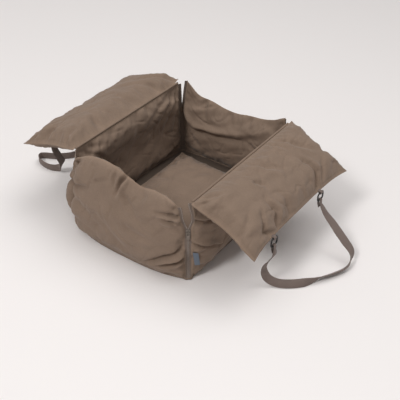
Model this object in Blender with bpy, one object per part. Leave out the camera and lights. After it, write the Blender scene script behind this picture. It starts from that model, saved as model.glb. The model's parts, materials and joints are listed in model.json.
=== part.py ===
"""Car seat for a small dog: a quilted fabric box with two fold-out side flaps.

Four quilted walls stand on a flat base and are joined by a zip at each corner.
A quilted flap is sewn along the top of each side wall and folds outwards; a
webbing handle hangs from two rings at the flap's outer edge.  A cushion lies
inside.  Frame: metres, +Z up, origin on the floor under the middle of the
base, +X towards the seat's right, +Y towards its back.
"""
import math
from dataclasses import dataclass, field

import bmesh
import bpy
from mathutils import Euler, Matrix, Vector

# Overall sizes
RIM_WIDTH = 0.440
RIM_LENGTH = 0.520
RIM_HEIGHT = 0.285
FLAP_REACH = 0.235
RIGHT_FLAP_TILT = math.radians(24.6)
LEFT_FLAP_TILT = math.radians(16.2)

# Cloth, filling and the gap that neighbouring pieces keep
CLOTH_THICKNESS = 0.0012
LAYER_GAP = 0.0006
FILLING_EDGE = 0.0010
SEAM_GAP = 0.0004
EDGE_HALF = CLOTH_THICKNESS + LAYER_GAP + FILLING_EDGE / 2

# Base
BASE_PANEL_THICKNESS = 0.003
BOARD_THICKNESS = 0.005
BOARD_MARGIN = 0.030
BOARD_CORNER_RADIUS = 0.030

# Walls
WALL_FOOT = BASE_PANEL_THICKNESS + SEAM_GAP
END_WALL_HALF = 0.019
SIDE_WALL_HALF = 0.022
END_SWELL_REACH = 0.026
FOOT_SWELL_REACH = 0.022
RIM_SWELL_REACH = 0.020
SEAM_SWELL_REACH = 0.052
SIDE_WALL_END_DROP = 0.004
SIDE_DROP_POWER = 8
CORNER_TURN_POWER = 5

# The walls' outer faces, which turn in more sharply at the ends and the foot
FRONT_WALL_OUTER_HALF = 0.028
BACK_WALL_OUTER_HALF = 0.019
LEFT_WALL_OUTER_HALF = 0.038
RIGHT_WALL_OUTER_HALF = 0.028
OUTER_END_REACH = 0.015
OUTER_FOOT_REACH = 0.017

# Bow of the walls at foot, middle and rim
FRONT_BOWS = (0.030, 0.022, 0.000)
BACK_BOWS = (0.012, 0.000, 0.030)
LEFT_BOWS = (0.014, 0.030, 0.000)
RIGHT_BOWS = (0.000, 0.020, 0.000)
END_BOW_POWER = 3.0
SIDE_BOW_POWER = 5.0

# Rim height of the end walls from left to right, as shares of the rim height
FRONT_RIM_SHARES = (0.965, 1.045, 1.070, 1.060, 1.005, 0.955, 0.985, 0.990, 0.945)
BACK_RIM_SHARES = (1.020, 0.865, 0.828, 0.785, 0.778, 0.812, 0.838, 0.900, 1.000)

# Hinge seam between a side wall and its flap
HINGE_CORD_RADIUS = 0.004
HINGE_CORD_MARGIN = 0.012

# Flaps
FLAP_TOP_HALF = 0.046
FLAP_UNDER_HALF = 0.030
FLAP_HINGE_TOP_REACH = 0.018
FLAP_HINGE_UNDER_REACH = 0.066
FLAP_OUTER_REACH = 0.030
FLAP_END_REACH = 0.018
FLAP_OUTER_DRAW = 0.016
FLAP_END_DRAW = 0.012

# Cushion
CUSHION_MARGIN = 0.028
CUSHION_TOP_HALF = 0.032
CUSHION_UNDER_HALF = 0.012
CUSHION_EDGE_REACH = 0.030
CUSHION_DRAW = 0.012

# Corner zips
TAPE_WIDTH = 0.0108
TAPE_HALF = 0.0006
COIL_WIDTH = 0.0024
COIL_FRONT = 0.0018
COIL_HALF_GAP = 0.0008
ZIP_OPEN_HEIGHT = 0.190
SIDE_TAPE_SPREAD = 0.002
WIDE_SPREAD = 0.018
NARROW_SPREAD = 0.011
SPREAD_POWER = 1.3
FOOT_FLARE = 0.005
FRONT_LEFT_FLARE = 0.018
END_WALL_SPREAD_LOCAL = 3
SIDE_WALL_SPREAD_LOCAL = 12

# Zip slider and puller
SLIDER_LENGTH = 0.018
SLIDER_HALF_WIDTH = 0.006
SLIDER_PLATE = 0.0012
SLIDER_CLEARANCE = 0.0005
SLIDER_WEB_HALF = 0.00045
BRIDGE_WIDTH = 0.0020
BRIDGE_HALF_LENGTH = 0.0060
BRIDGE_POST = 0.0014
BRIDGE_HEIGHT = 0.0046
PULLER_WIDTH = 0.0100
PULLER_LENGTH = 0.0270
PULLER_THICKNESS = 0.0014
PULLER_PIN = 0.0018
PULLER_EYE_LENGTH = 0.0080
PULLER_EYE_WIDTH = 0.0062

# Webbing, rings and tabs
WEBBING_WIDTH = 0.026
WEBBING_THICKNESS = 0.0024
NECK_WIDTH = 0.011
TAB_WIDTH = 0.011
RING_WIRE_RADIUS = 0.0023
RING_WIDTH = 0.030
RING_HEIGHT = 0.028
RING_CORNER = 0.009
RING_PITCH = 0.260
RING_SHIFT = 0.018
RING_CLEARANCE = 0.00055
TAB_LENGTH = 0.0075
TAB_SEAT_GAP = 0.0009
FOLDED_END = 0.026
FOLD_GAP = 0.0018
FLOOR_GAP = 0.0005

# Label and belt loops
LABEL_START_SHARE = 0.905
LABEL_END_SHARE = 0.985
LABEL_FOOT_SHARE = 0.205
LABEL_TOP_SHARE = 0.380
LABEL_THICKNESS = 0.0008
LABEL_LIFT = 0.0040
LABEL_GAP = 0.0012
BELT_LOOP_HALF_SPACING = 0.120
BELT_LOOP_WIDTH = 0.030
BELT_LOOP_HEIGHT = 0.090
BELT_LOOP_MIDDLE = 0.150
BELT_LOOP_STANDOFF = 0.012
BELT_LOOP_GAP = 0.0018

# How finely the soft pieces are divided
WALL_COLUMNS = 12
WALL_ROWS = 7
FLAP_COLUMNS = 14
FLAP_ROWS = 7
CUSHION_COLUMNS = 8
CUSHION_ROWS = 6
LABEL_CELLS = 4
LOOP_STEPS = 8
ROUTE_STEPS = 3
TURN_STEPS = 6
TAB_TURN_STEPS = 8
ARC_STEPS = 4
CORD_SIDES = 10
SHARP_ANGLE = math.radians(40)

# The distance from a zip's middle to the wall's edge, and its share along each wall
TAPE_END = COIL_HALF_GAP + COIL_WIDTH + TAPE_WIDTH
WALL_EDGE = TAPE_END + SEAM_GAP
EDGE_STEP = WALL_EDGE / math.sqrt(2)
CORNER_X = RIM_WIDTH / 2 - EDGE_STEP
CORNER_Y = RIM_LENGTH / 2
SIDE_RIM = RIM_HEIGHT - HINGE_CORD_RADIUS - SEAM_GAP
RING_AXIS = FLAP_REACH - FLAP_OUTER_DRAW + SEAM_GAP + TAB_LENGTH
RING_BAR_HOLD = RING_WIRE_RADIUS + RING_CLEARANCE + WEBBING_THICKNESS / 2

UP = Vector((0, 0, 1))


def clear_scene():
    """Remove whatever the opened file holds."""
    for old in list(bpy.data.objects):
        bpy.data.objects.remove(old, do_unlink=True)


def make_collection(name):
    """A collection under the scene's own."""
    collection = bpy.data.collections.new(name)
    bpy.context.scene.collection.children.link(collection)
    return collection


def principled(name, colour, roughness, metallic=0.0):
    """A plain Principled material from an sRGB hex colour."""
    channels = [int(colour[i:i + 2], 16) / 255 for i in (1, 3, 5)]
    linear = [c / 12.92 if c <= 0.04045 else ((c + 0.055) / 1.055) ** 2.4 for c in channels]
    material = bpy.data.materials.new(name)
    material.use_nodes = True
    shader = material.node_tree.nodes["Principled BSDF"]
    shader.inputs["Base Color"].default_value = (*linear, 1)
    shader.inputs["Roughness"].default_value = roughness
    shader.inputs["Metallic"].default_value = metallic
    material.diffuse_color = (*linear, 1)
    return material


def finish_mesh(name, mesh_builder, material, collection, parent=None, smooth=True):
    """Turn a bmesh into a named object with outward normals."""
    bmesh.ops.recalc_face_normals(mesh_builder, faces=mesh_builder.faces[:])
    if mesh_builder.calc_volume(signed=True) < 0:
        bmesh.ops.reverse_faces(mesh_builder, faces=mesh_builder.faces[:])
    mesh = bpy.data.meshes.new(name)
    mesh_builder.to_mesh(mesh)
    mesh_builder.free()
    if smooth:
        mesh.shade_smooth()
        mesh.set_sharp_from_angle(angle=SHARP_ANGLE)
    piece = bpy.data.objects.new(name, mesh)
    piece.data.materials.append(material)
    collection.objects.link(piece)
    piece.parent = parent
    return piece


def make_pivot(name, collection, location, rotation=(0, 0, 0), parent=None):
    """An empty that stands on a joint's axis and carries the moving pieces."""
    pivot = bpy.data.objects.new(name, None)
    pivot.empty_display_size = HINGE_CORD_RADIUS
    pivot.location = location
    pivot.rotation_euler = Euler(rotation)
    pivot.parent = parent
    collection.objects.link(pivot)
    return pivot


def slab(name, columns, rows, near_face, far_face, material, collection, parent=None):
    """A closed solid between two faces, each a function of shares from -1 to 1.

    The grid lines stand closer together towards the edges, where a quilted
    panel turns most.
    """
    builder = bmesh.new()
    bmesh.ops.create_grid(builder, x_segments=columns, y_segments=rows, size=1)
    near = list(builder.verts)
    shares = {}
    for vert in near:
        shares[vert] = tuple(math.sin(math.pi / 2 * vert.co[i]) for i in range(2))
    extruded = bmesh.ops.extrude_face_region(builder, geom=builder.faces[:])
    far = [item for item in extruded["geom"] if isinstance(item, bmesh.types.BMVert)]
    for vert in far:
        vert.co = far_face(*(math.sin(math.pi / 2 * vert.co[i]) for i in range(2)))
    for vert in near:
        vert.co = near_face(*shares[vert])
    return finish_mesh(name, builder, material, collection, parent)


def loft(name, sections, material, collection, parent=None, smooth=False):
    """A closed solid through a run of like sections, capped at both ends."""
    builder = bmesh.new()
    rings = [[builder.verts.new(point) for point in section] for section in sections]
    sides = len(rings[0])
    for ring, following in zip(rings, rings[1:]):
        for i in range(sides):
            j = (i + 1) % sides
            builder.faces.new((ring[i], ring[j], following[j], following[i]))
    builder.faces.new(rings[0])
    builder.faces.new(rings[-1])
    return finish_mesh(name, builder, material, collection, parent, smooth)


def swell(distance, reach):
    """Rise from nothing at an edge to one well inside it."""
    return 1 - math.exp(-max(distance, 0) / reach)


def smooth_steps(shares, position):
    """Read evenly spaced shares at a position from 0 to 1, rounded between them."""
    last = len(shares) - 1
    place = min(max(position, 0), 1) * last
    index = min(int(place), last - 1)
    part = place - index
    before = shares[max(index - 1, 0)]
    start = shares[index]
    end = shares[index + 1]
    after = shares[min(index + 2, last)]
    rise_start = (end - before) / 2
    rise_end = (after - start) / 2
    return (start * (1 + 2 * part) * (1 - part) ** 2 + rise_start * part * (1 - part) ** 2
            + end * part ** 2 * (3 - 2 * part) + rise_end * part ** 2 * (part - 1))


@dataclass
class Fold:
    """A valley pressed into a quilted face between two places on it."""

    start_shares: tuple
    end_shares: tuple
    depth: float
    width: float

    def drop(self, along, across, half_length, half_width):
        """How far the face sinks at a place given in shares."""
        place = Vector((along * half_length, across * half_width))
        start = Vector((self.start_shares[0] * half_length, self.start_shares[1] * half_width))
        end = Vector((self.end_shares[0] * half_length, self.end_shares[1] * half_width))
        line = end - start
        part = min(max((place - start).dot(line) / line.length_squared, 0), 1)
        distance = (place - start - line * part).length
        return self.depth * (1 - part * part) * math.exp(-(distance / self.width) ** 2)


def sum_of_folds(folds, along, across, half_length, half_width):
    """The depth of all folds at one place."""
    return sum(fold.drop(along, across, half_length, half_width) for fold in folds)


def quilt(names, columns, rows, middle, normal, outer_half, inner_half, materials,
          collection, parent=None):
    """Outer cloth, filling and inner cloth, one inside the other with a gap.

    middle and normal give the quilt's middle surface; outer_half and
    inner_half give how far its two faces stand from it.
    """
    def face(half, inset, side):
        return lambda u, v: middle(u, v) + normal(u, v) * side * (half(u, v) - inset)

    filling_inset = CLOTH_THICKNESS + LAYER_GAP
    outer_cloth, filling, inner_cloth = materials
    layers = (
        (names[0], face(outer_half, CLOTH_THICKNESS, 1), face(outer_half, 0, 1), outer_cloth),
        (names[1], face(inner_half, filling_inset, -1), face(outer_half, filling_inset, 1), filling),
        (names[2], face(inner_half, 0, -1), face(inner_half, CLOTH_THICKNESS, -1), inner_cloth),
    )
    for name, near_face, far_face, material in layers:
        slab(name, columns, rows, near_face, far_face, material, collection, parent)


@dataclass
class Corner:
    """Where one corner zip stands: its place at the rim and its flare at the foot."""

    name: str
    sign_x: int
    sign_y: int
    flare: float

    @property
    def outward(self):
        """Away from the seat across the corner."""
        return Vector((self.sign_x, self.sign_y, 0)).normalized()

    @property
    def to_side(self):
        """From the zip's middle line towards the side wall."""
        return Vector((self.sign_x, -self.sign_y, 0)).normalized()

    def at(self, height):
        """The zip's middle line at a height above the floor."""
        rim = Vector((self.sign_x * CORNER_X, self.sign_y * CORNER_Y, height))
        return rim + self.outward * self.flare * (1 - height / RIM_HEIGHT)

    def frame(self, height):
        """Place and turn of a piece on the zip: +Z up along it and +Y away from the seat."""
        up = (self.at(RIM_HEIGHT) - self.at(0)).normalized()
        across = self.outward.cross(up).normalized()
        out = up.cross(across)
        turn = Matrix((across, out, up)).transposed()
        return Matrix.Translation(self.at(height)) @ turn.to_4x4()


FRONT_LEFT = Corner("front_left", -1, -1, FRONT_LEFT_FLARE)
FRONT_RIGHT = Corner("front_right", 1, -1, FOOT_FLARE)
BACK_LEFT = Corner("back_left", -1, 1, FOOT_FLARE)
BACK_RIGHT = Corner("back_right", 1, 1, FOOT_FLARE)
CORNERS = (FRONT_LEFT, FRONT_RIGHT, BACK_LEFT, BACK_RIGHT)


@dataclass
class Wall:
    """One quilted wall: the corners it joins, how it bows and where its ends part."""

    name: str
    outward: Vector
    along: Vector
    corners: tuple
    bows: tuple
    bow_power: float
    half: float
    outer: float
    rim_reach: float
    rim: object
    spreads: tuple
    spread_local: int
    folds: list = field(default_factory=list)

    @property
    def half_run(self):
        """Half of the wall's length along its rim."""
        first, second = (self.edge(end, RIM_HEIGHT) for end in (-1, 1))
        return (second - first).dot(self.along) / 2

    def corner(self, end):
        """The corner at the wall's first (-1) or second (1) end."""
        return self.corners[0 if end < 0 else 1]

    def away(self, end):
        """From a corner's zip towards this wall."""
        corner = self.corner(end)
        return corner.to_side if abs(self.along.y) > abs(self.along.x) else -corner.to_side

    def edge(self, end, height):
        """The wall's edge at one end with its zip closed."""
        return self.corner(end).at(height) + self.away(end) * WALL_EDGE

    def height(self, u, v):
        """Height above the floor; v runs from -1 at the foot to 1 at the rim."""
        return WALL_FOOT + (self.rim(u) - WALL_FOOT) * (v + 1) / 2

    def spread(self, end, height):
        """How far one end stands off its zip's middle line at a height."""
        top = self.rim(end)
        part = max(height - ZIP_OPEN_HEIGHT, 0) / (top - ZIP_OPEN_HEIGHT)
        return self.spreads[0 if end < 0 else 1] * part ** SPREAD_POWER

    def middle(self, u, v):
        """A point of the wall's middle surface."""
        height = self.height(u, v)
        share = (u + 1) / 2
        place = self.edge(-1, height).lerp(self.edge(1, height), share)
        place += self.away(-1) * self.spread(-1, height) * (1 - share) ** self.spread_local
        place += self.away(1) * self.spread(1, height) * share ** self.spread_local
        rise = (v + 1) / 2
        foot_bow, middle_bow, rim_bow = self.bows
        bow = foot_bow * (1 - rise) ** 2 + rim_bow * rise ** 2 + middle_bow * math.sin(math.pi * rise) ** 2
        return place + self.outward * bow * (1 - abs(u) ** self.bow_power)

    def normal(self, u, v):
        """Across the wall, turning to face its corners at both ends."""
        return (self.outward + self.along * u ** CORNER_TURN_POWER).normalized()

    def half_at(self, u, v, full, end_reach, foot_reach, rim_reach):
        """From the middle surface to one face, which rises from all four seams."""
        height = self.rim(u) - WALL_FOOT
        ends = swell((1 - abs(u)) * self.half_run, end_reach)
        foot = swell((v + 1) / 2 * height, foot_reach)
        rim = swell((1 - v) / 2 * height, rim_reach)
        return EDGE_HALF + (full - EDGE_HALF) * ends * foot * rim

    def outer_half(self, u, v):
        """From the middle surface to the outer face."""
        sunk = sum_of_folds(self.folds, u, v, self.half_run, RIM_HEIGHT / 2)
        stuffed = self.half_at(u, v, self.outer, OUTER_END_REACH, OUTER_FOOT_REACH, self.rim_reach)
        return max(stuffed - sunk, EDGE_HALF)

    def inner_half(self, u, v):
        """From the middle surface to the inner face."""
        return self.half_at(u, v, self.half, END_SWELL_REACH, FOOT_SWELL_REACH, RIM_SWELL_REACH)


def front_rim(u):
    """Height of the front wall's rim, which sags beside the open zip."""
    return RIM_HEIGHT * smooth_steps(FRONT_RIM_SHARES, (u + 1) / 2)


def back_rim(u):
    """Height of the back wall's rim."""
    return RIM_HEIGHT * smooth_steps(BACK_RIM_SHARES, (u + 1) / 2)


def side_rim(u):
    """Height of a side wall's rim, straight under the flap's seam."""
    return SIDE_RIM - SIDE_WALL_END_DROP * u ** SIDE_DROP_POWER


FRONT_FOLDS = [
    Fold((-0.10, 0.95), (-0.02, 0.35), 0.016, 0.022),
    Fold((-0.85, 0.45), (-0.45, 0.55), 0.010, 0.020),
    Fold((0.98, -0.55), (0.45, -0.75), 0.010, 0.022),
    Fold((0.98, 0.10), (0.55, 0.02), 0.010, 0.022),
]
SIDE_FOLDS = [
    Fold((-0.98, -0.05), (-0.45, -0.12), 0.012, 0.022),
    Fold((-0.98, 0.35), (-0.55, 0.30), 0.008, 0.020),
    Fold((0.98, -0.10), (0.55, 0.05), 0.008, 0.022),
]
BACK_FOLDS = [
    Fold((-0.98, 0.20), (-0.55, 0.05), 0.010, 0.022),
    Fold((0.98, 0.20), (0.50, 0.10), 0.010, 0.022),
]


def make_walls():
    """The four walls between their corners."""
    left, right, front, back = (Vector(d) for d in ((-1, 0, 0), (1, 0, 0), (0, -1, 0), (0, 1, 0)))
    side_spreads = (SIDE_TAPE_SPREAD, SIDE_TAPE_SPREAD)
    return {
        "front": Wall("front", front, right, (FRONT_LEFT, FRONT_RIGHT), FRONT_BOWS, END_BOW_POWER,
                      END_WALL_HALF, FRONT_WALL_OUTER_HALF, RIM_SWELL_REACH, front_rim,
                      (NARROW_SPREAD, WIDE_SPREAD), END_WALL_SPREAD_LOCAL, FRONT_FOLDS),
        "back": Wall("back", back, right, (BACK_LEFT, BACK_RIGHT), BACK_BOWS, END_BOW_POWER,
                     END_WALL_HALF, BACK_WALL_OUTER_HALF, RIM_SWELL_REACH, back_rim,
                     (NARROW_SPREAD, NARROW_SPREAD), END_WALL_SPREAD_LOCAL, BACK_FOLDS),
        "left": Wall("left", left, back, (FRONT_LEFT, BACK_LEFT), LEFT_BOWS, SIDE_BOW_POWER,
                     SIDE_WALL_HALF, LEFT_WALL_OUTER_HALF, SEAM_SWELL_REACH, side_rim,
                     side_spreads, SIDE_WALL_SPREAD_LOCAL, SIDE_FOLDS),
        "right": Wall("right", right, back, (FRONT_RIGHT, BACK_RIGHT), RIGHT_BOWS, SIDE_BOW_POWER,
                      SIDE_WALL_HALF, RIGHT_WALL_OUTER_HALF, SEAM_SWELL_REACH, side_rim,
                      side_spreads, SIDE_WALL_SPREAD_LOCAL, SIDE_FOLDS),
    }


def build_wall(wall, palette, collection):
    """Outer panel, pad and lining of one wall."""
    names = (wall.name + "_wall_outer_panel", wall.name + "_wall_pad", wall.name + "_wall_lining")
    materials = (palette["cloth"], palette["filling"], palette["cloth"])
    quilt(names, WALL_COLUMNS, WALL_ROWS, wall.middle, wall.normal, wall.outer_half,
          wall.inner_half, materials, collection)


def base_outline(walls):
    """The foot line of the four walls, as points round the base."""
    points = []
    order = (("front", 1), ("right", 1), ("back", -1), ("left", -1))
    for name, direction in order:
        wall = walls[name]
        for step in range(WALL_COLUMNS + 1):
            share = direction * math.sin(math.pi / 2 * (2 * step / WALL_COLUMNS - 1))
            point = wall.middle(share, -1) + wall.normal(share, -1) * EDGE_HALF
            points.append(point)
    return points


def flat_plate(name, outlines, thickness, material, collection, parent=None):
    """A flat plate from closed outlines in its own XY plane; inner ones are holes."""
    curve = bpy.data.curves.new(name, "CURVE")
    curve.dimensions = "2D"
    curve.fill_mode = "BOTH"
    curve.extrude = thickness / 2
    for outline in outlines:
        spline = curve.splines.new("POLY")
        spline.points.add(len(outline) - 1)
        for point, (x, y) in zip(spline.points, outline):
            point.co = (x, y, 0, 1)
        spline.use_cyclic_u = True
    curve.materials.append(material)
    piece = bpy.data.objects.new(name, curve)
    collection.objects.link(piece)
    piece.parent = parent
    return piece


def rounded_rectangle(width, height, radius):
    """Outline points of a rectangle with round corners, about its middle."""
    points = []
    for index, (sx, sy) in enumerate(((1, 1), (-1, 1), (-1, -1), (1, -1))):
        for step in range(ARC_STEPS + 1):
            angle = math.pi / 2 * (index + step / ARC_STEPS)
            points.append((sx * (width / 2 - radius) + radius * math.cos(angle),
                           sy * (height / 2 - radius) + radius * math.sin(angle)))
    return points


def build_base(walls, palette, collection):
    """Base panel under the walls and the stiff board inside them."""
    outline = [(point.x, point.y) for point in base_outline(walls)]
    panel = flat_plate("base_panel", [outline], BASE_PANEL_THICKNESS, palette["base"], collection)
    panel.location.z = BASE_PANEL_THICKNESS / 2
    width = RIM_WIDTH - 2 * BOARD_MARGIN
    length = RIM_LENGTH - 2 * BOARD_MARGIN
    board = flat_plate("base_board", [rounded_rectangle(width, length, BOARD_CORNER_RADIUS)],
                       BOARD_THICKNESS, palette["board"], collection)
    board.location.z = BASE_PANEL_THICKNESS + SEAM_GAP + BOARD_THICKNESS / 2


def build_cushion(palette, collection):
    """The loose cushion on the board, crowned with drawn-in sides."""
    half_width = RIM_WIDTH / 2 - CUSHION_MARGIN
    half_length = RIM_LENGTH / 2 - CUSHION_MARGIN
    rest = BASE_PANEL_THICKNESS + BOARD_THICKNESS + 2 * SEAM_GAP + CUSHION_UNDER_HALF

    def middle(u, v):
        x = v * (half_width - CUSHION_DRAW * (1 - u ** 4))
        y = u * (half_length - CUSHION_DRAW * (1 - v ** 4))
        return Vector((x, y, rest))

    def half(top):
        def at(u, v):
            sides = swell((1 - abs(u)) * half_length, CUSHION_EDGE_REACH)
            ends = swell((1 - abs(v)) * half_width, CUSHION_EDGE_REACH)
            return EDGE_HALF + (top - EDGE_HALF) * sides * ends
        return at

    names = ("cushion_top_cover", "cushion_filling", "cushion_under_cover")
    materials = (palette["cloth"], palette["filling"], palette["cloth"])
    quilt(names, CUSHION_COLUMNS, CUSHION_ROWS, middle, lambda u, v: UP,
          half(CUSHION_TOP_HALF), half(CUSHION_UNDER_HALF), materials, collection)


FLAP_TOP_FOLDS = [
    Fold((-0.50, 0.98), (-0.42, 0.10), 0.012, 0.022),
    Fold((0.50, 0.98), (0.40, 0.05), 0.012, 0.022),
    Fold((-0.98, 0.55), (-0.62, 0.15), 0.010, 0.022),
    Fold((0.98, -0.30), (0.60, -0.05), 0.010, 0.022),
    Fold((0.05, -0.95), (-0.05, -0.35), 0.008, 0.024),
]


def flap_middle(u, v):
    """Middle surface of a flap in its own frame: +X outwards, +Y along the seam."""
    reach = (v + 1) / 2
    start = HINGE_CORD_RADIUS + SEAM_GAP
    x = start + (FLAP_REACH - start) * reach - FLAP_OUTER_DRAW * reach ** 2 * (1 - u ** 4)
    y = u * (RIM_LENGTH / 2 - FLAP_END_DRAW * math.sin(math.pi * reach) ** 2)
    return Vector((x, y, 0))


def flap_half(full, hinge_reach, folds, u, v):
    """Half of a flap's thickness on one face."""
    reach = (v + 1) / 2
    ends = swell((1 - abs(u)) * RIM_LENGTH / 2, FLAP_END_REACH)
    outer = swell((1 - reach) * FLAP_REACH, FLAP_OUTER_REACH)
    hinge = swell(reach * FLAP_REACH, hinge_reach)
    sunk = sum_of_folds(folds, u, v, RIM_LENGTH / 2, FLAP_REACH / 2)
    return max(EDGE_HALF + (full - EDGE_HALF) * ends * outer * hinge - sunk, EDGE_HALF)


def build_flap(side, pivot, palette, collection):
    """Upper panel, filling and lower panel of one flap."""
    names = (side + "_flap_upper_panel", side + "_flap_filling", side + "_flap_lower_panel")
    materials = (palette["cloth"], palette["filling"], palette["cloth"])

    def top(u, v):
        return flap_half(FLAP_TOP_HALF, FLAP_HINGE_TOP_REACH, FLAP_TOP_FOLDS, u, v)

    def under(u, v):
        return flap_half(FLAP_UNDER_HALF, FLAP_HINGE_UNDER_REACH, (), u, v)

    quilt(names, FLAP_COLUMNS, FLAP_ROWS, flap_middle, lambda u, v: UP, top, under,
          materials, collection, pivot)


def build_hinge_cord(side, sign, palette, collection):
    """The round cord sewn into the seam that a flap turns about."""
    length = RIM_LENGTH - 2 * EDGE_STEP - 2 * HINGE_CORD_MARGIN
    builder = bmesh.new()
    bmesh.ops.create_cone(builder, cap_ends=True, segments=CORD_SIDES,
                          radius1=HINGE_CORD_RADIUS, radius2=HINGE_CORD_RADIUS, depth=length)
    cord = finish_mesh(side + "_hinge_cord", builder, palette["cloth"], collection)
    cord.rotation_euler = Euler((math.pi / 2, 0, 0))
    cord.location = (sign * RIM_WIDTH / 2, 0, RIM_HEIGHT)


def build_tape(name, wall, end, palette, collection):
    """One zip tape with its row of coils, following its wall's edge."""
    corner = wall.corner(end)
    away = wall.away(end)
    sections = []
    for row in range(WALL_ROWS + 1):
        v = math.sin(math.pi / 2 * (2 * row / WALL_ROWS - 1))
        height = wall.height(end, v)
        shift = wall.spread(end, height)
        coil_start = COIL_HALF_GAP + shift
        coil_end = coil_start + COIL_WIDTH
        tape_end = TAPE_END + shift
        profile = ((coil_start, -TAPE_HALF), (tape_end, -TAPE_HALF), (tape_end, TAPE_HALF),
                   (coil_end, TAPE_HALF), (coil_end, COIL_FRONT), (coil_start, COIL_FRONT))
        origin = corner.at(height)
        sections.append([origin + away * p + corner.outward * q for p, q in profile])
    loft(name, sections, palette["tape"], collection)


def slider_profile():
    """Section of a slider: two plates joined by a web between the coils."""
    back_inner = -TAPE_HALF - SLIDER_CLEARANCE
    front_inner = COIL_FRONT + SLIDER_CLEARANCE
    back = back_inner - SLIDER_PLATE
    front = front_inner + SLIDER_PLATE
    half = SLIDER_HALF_WIDTH
    web = SLIDER_WEB_HALF
    return ((-half, back), (half, back), (half, back_inner), (web, back_inner),
            (web, front_inner), (half, front_inner), (half, front), (-half, front),
            (-half, front_inner), (-web, front_inner), (-web, back_inner), (-half, back_inner))


SLIDER_FRONT = COIL_FRONT + SLIDER_CLEARANCE + SLIDER_PLATE
PIN_STANDOFF = SLIDER_FRONT + (BRIDGE_HEIGHT - BRIDGE_POST) / 2


def build_slider(name, pivot, palette, collection, cutters):
    """Slider body with the bridge that holds its puller."""
    half = SLIDER_LENGTH / 2
    sections = [[Vector((p, q, z)) for p, q in slider_profile()] for z in (-half, half)]
    body = loft(name, sections, palette["metal"], collection, pivot)
    root = SLIDER_FRONT - SLIDER_PLATE / 2
    top = SLIDER_FRONT + BRIDGE_HEIGHT
    under = top - BRIDGE_POST
    reach = BRIDGE_HALF_LENGTH
    inner = reach - BRIDGE_POST
    arch = ((root, -reach), (top, -reach), (top, reach), (root, reach),
            (root, inner), (under, inner), (under, -inner), (root, -inner))
    sides = [[Vector((x, q, z)) for q, z in arch] for x in (-BRIDGE_WIDTH / 2, BRIDGE_WIDTH / 2)]
    bridge = loft(name + "_bridge", sides, palette["metal"], cutters, pivot)
    bridge.hide_render = True
    bridge.display_type = "WIRE"
    joined = body.modifiers.new("bridge", "BOOLEAN")
    joined.operation = "UNION"
    joined.solver = "EXACT"
    joined.object = bridge


def puller_outlines():
    """Outline of a puller and its eye, in its own plane with the pin at the origin."""
    half = PULLER_WIDTH / 2
    top = PULLER_PIN / 2
    outer = [(half, top), (-half, top)]
    for step in range(TURN_STEPS + 1):
        angle = math.pi * (1 + step / TURN_STEPS)
        outer.append((half * math.cos(angle), half * math.sin(angle) - PULLER_LENGTH + half + top))
    eye = PULLER_EYE_WIDTH / 2
    hole = [(-eye, -top), (eye, -top), (eye, -top - PULLER_EYE_LENGTH), (-eye, -top - PULLER_EYE_LENGTH)]
    return [outer, hole]


def build_zip(corner, walls, palette, collection, cutters):
    """Two tapes, a slider and its puller at one corner."""
    end_wall = walls["front" if corner.sign_y < 0 else "back"]
    side_wall = walls["left" if corner.sign_x < 0 else "right"]
    stem = corner.name + "_zip_"
    build_tape(stem + "end_wall_tape", end_wall, corner.sign_x, palette, collection)
    build_tape(stem + "side_wall_tape", side_wall, corner.sign_y, palette, collection)
    place = corner.frame(ZIP_OPEN_HEIGHT - SLIDER_LENGTH / 2)
    slider_pivot = make_pivot(stem + "slider_pivot", collection, place.to_translation(),
                              place.to_euler())
    build_slider(stem + "slider", slider_pivot, palette, collection, cutters)
    puller_pivot = make_pivot(stem + "puller_pivot", collection, (0, PIN_STANDOFF, 0),
                              (math.pi / 2, 0, 0), slider_pivot)
    flat_plate(stem + "puller", puller_outlines(), PULLER_THICKNESS, palette["metal"],
               collection, puller_pivot)


def webbing_sections(points, widths, width_directions, floor=None):
    """Flat rectangular sections along a route, lifted where they would pass a floor."""
    sections = []
    last = len(points) - 1
    for index, point in enumerate(points):
        tangent = (points[min(index + 1, last)] - points[max(index - 1, 0)]).normalized()
        across = width_directions[index]
        across = (across - tangent * across.dot(tangent)).normalized()
        thick = tangent.cross(across)
        corners = []
        for a, b in ((-1, -1), (1, -1), (1, 1), (-1, 1)):
            corners.append(point + across * a * widths[index] / 2 + thick * b * WEBBING_THICKNESS / 2)
        if floor is not None:
            lift = max(floor + FLOOR_GAP - min(corner.z for corner in corners), 0)
            corners = [corner + UP * lift for corner in corners]
        sections.append(corners)
    return sections


def build_tab(name, y, pivot, palette, collection):
    """The webbing tab that holds a ring at the flap's outer edge."""
    start = FLAP_REACH - FLAP_OUTER_DRAW * (1 - (2 * y / RIM_LENGTH) ** 4) + TAB_SEAT_GAP
    pressed = WEBBING_THICKNESS / 2 + LAYER_GAP / 2
    points = [Vector((start, y, pressed))]
    for step in range(TAB_TURN_STEPS + 1):
        angle = math.pi * (1 / 2 - step / TAB_TURN_STEPS)
        points.append(Vector((RING_AXIS + RING_BAR_HOLD * math.cos(angle), y,
                              RING_BAR_HOLD * math.sin(angle))))
    points.append(Vector((start, y, -pressed)))
    count = len(points)
    sections = webbing_sections(points, [TAB_WIDTH] * count, [Vector((0, 1, 0))] * count)
    loft(name, sections, palette["webbing"], collection, pivot)


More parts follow.
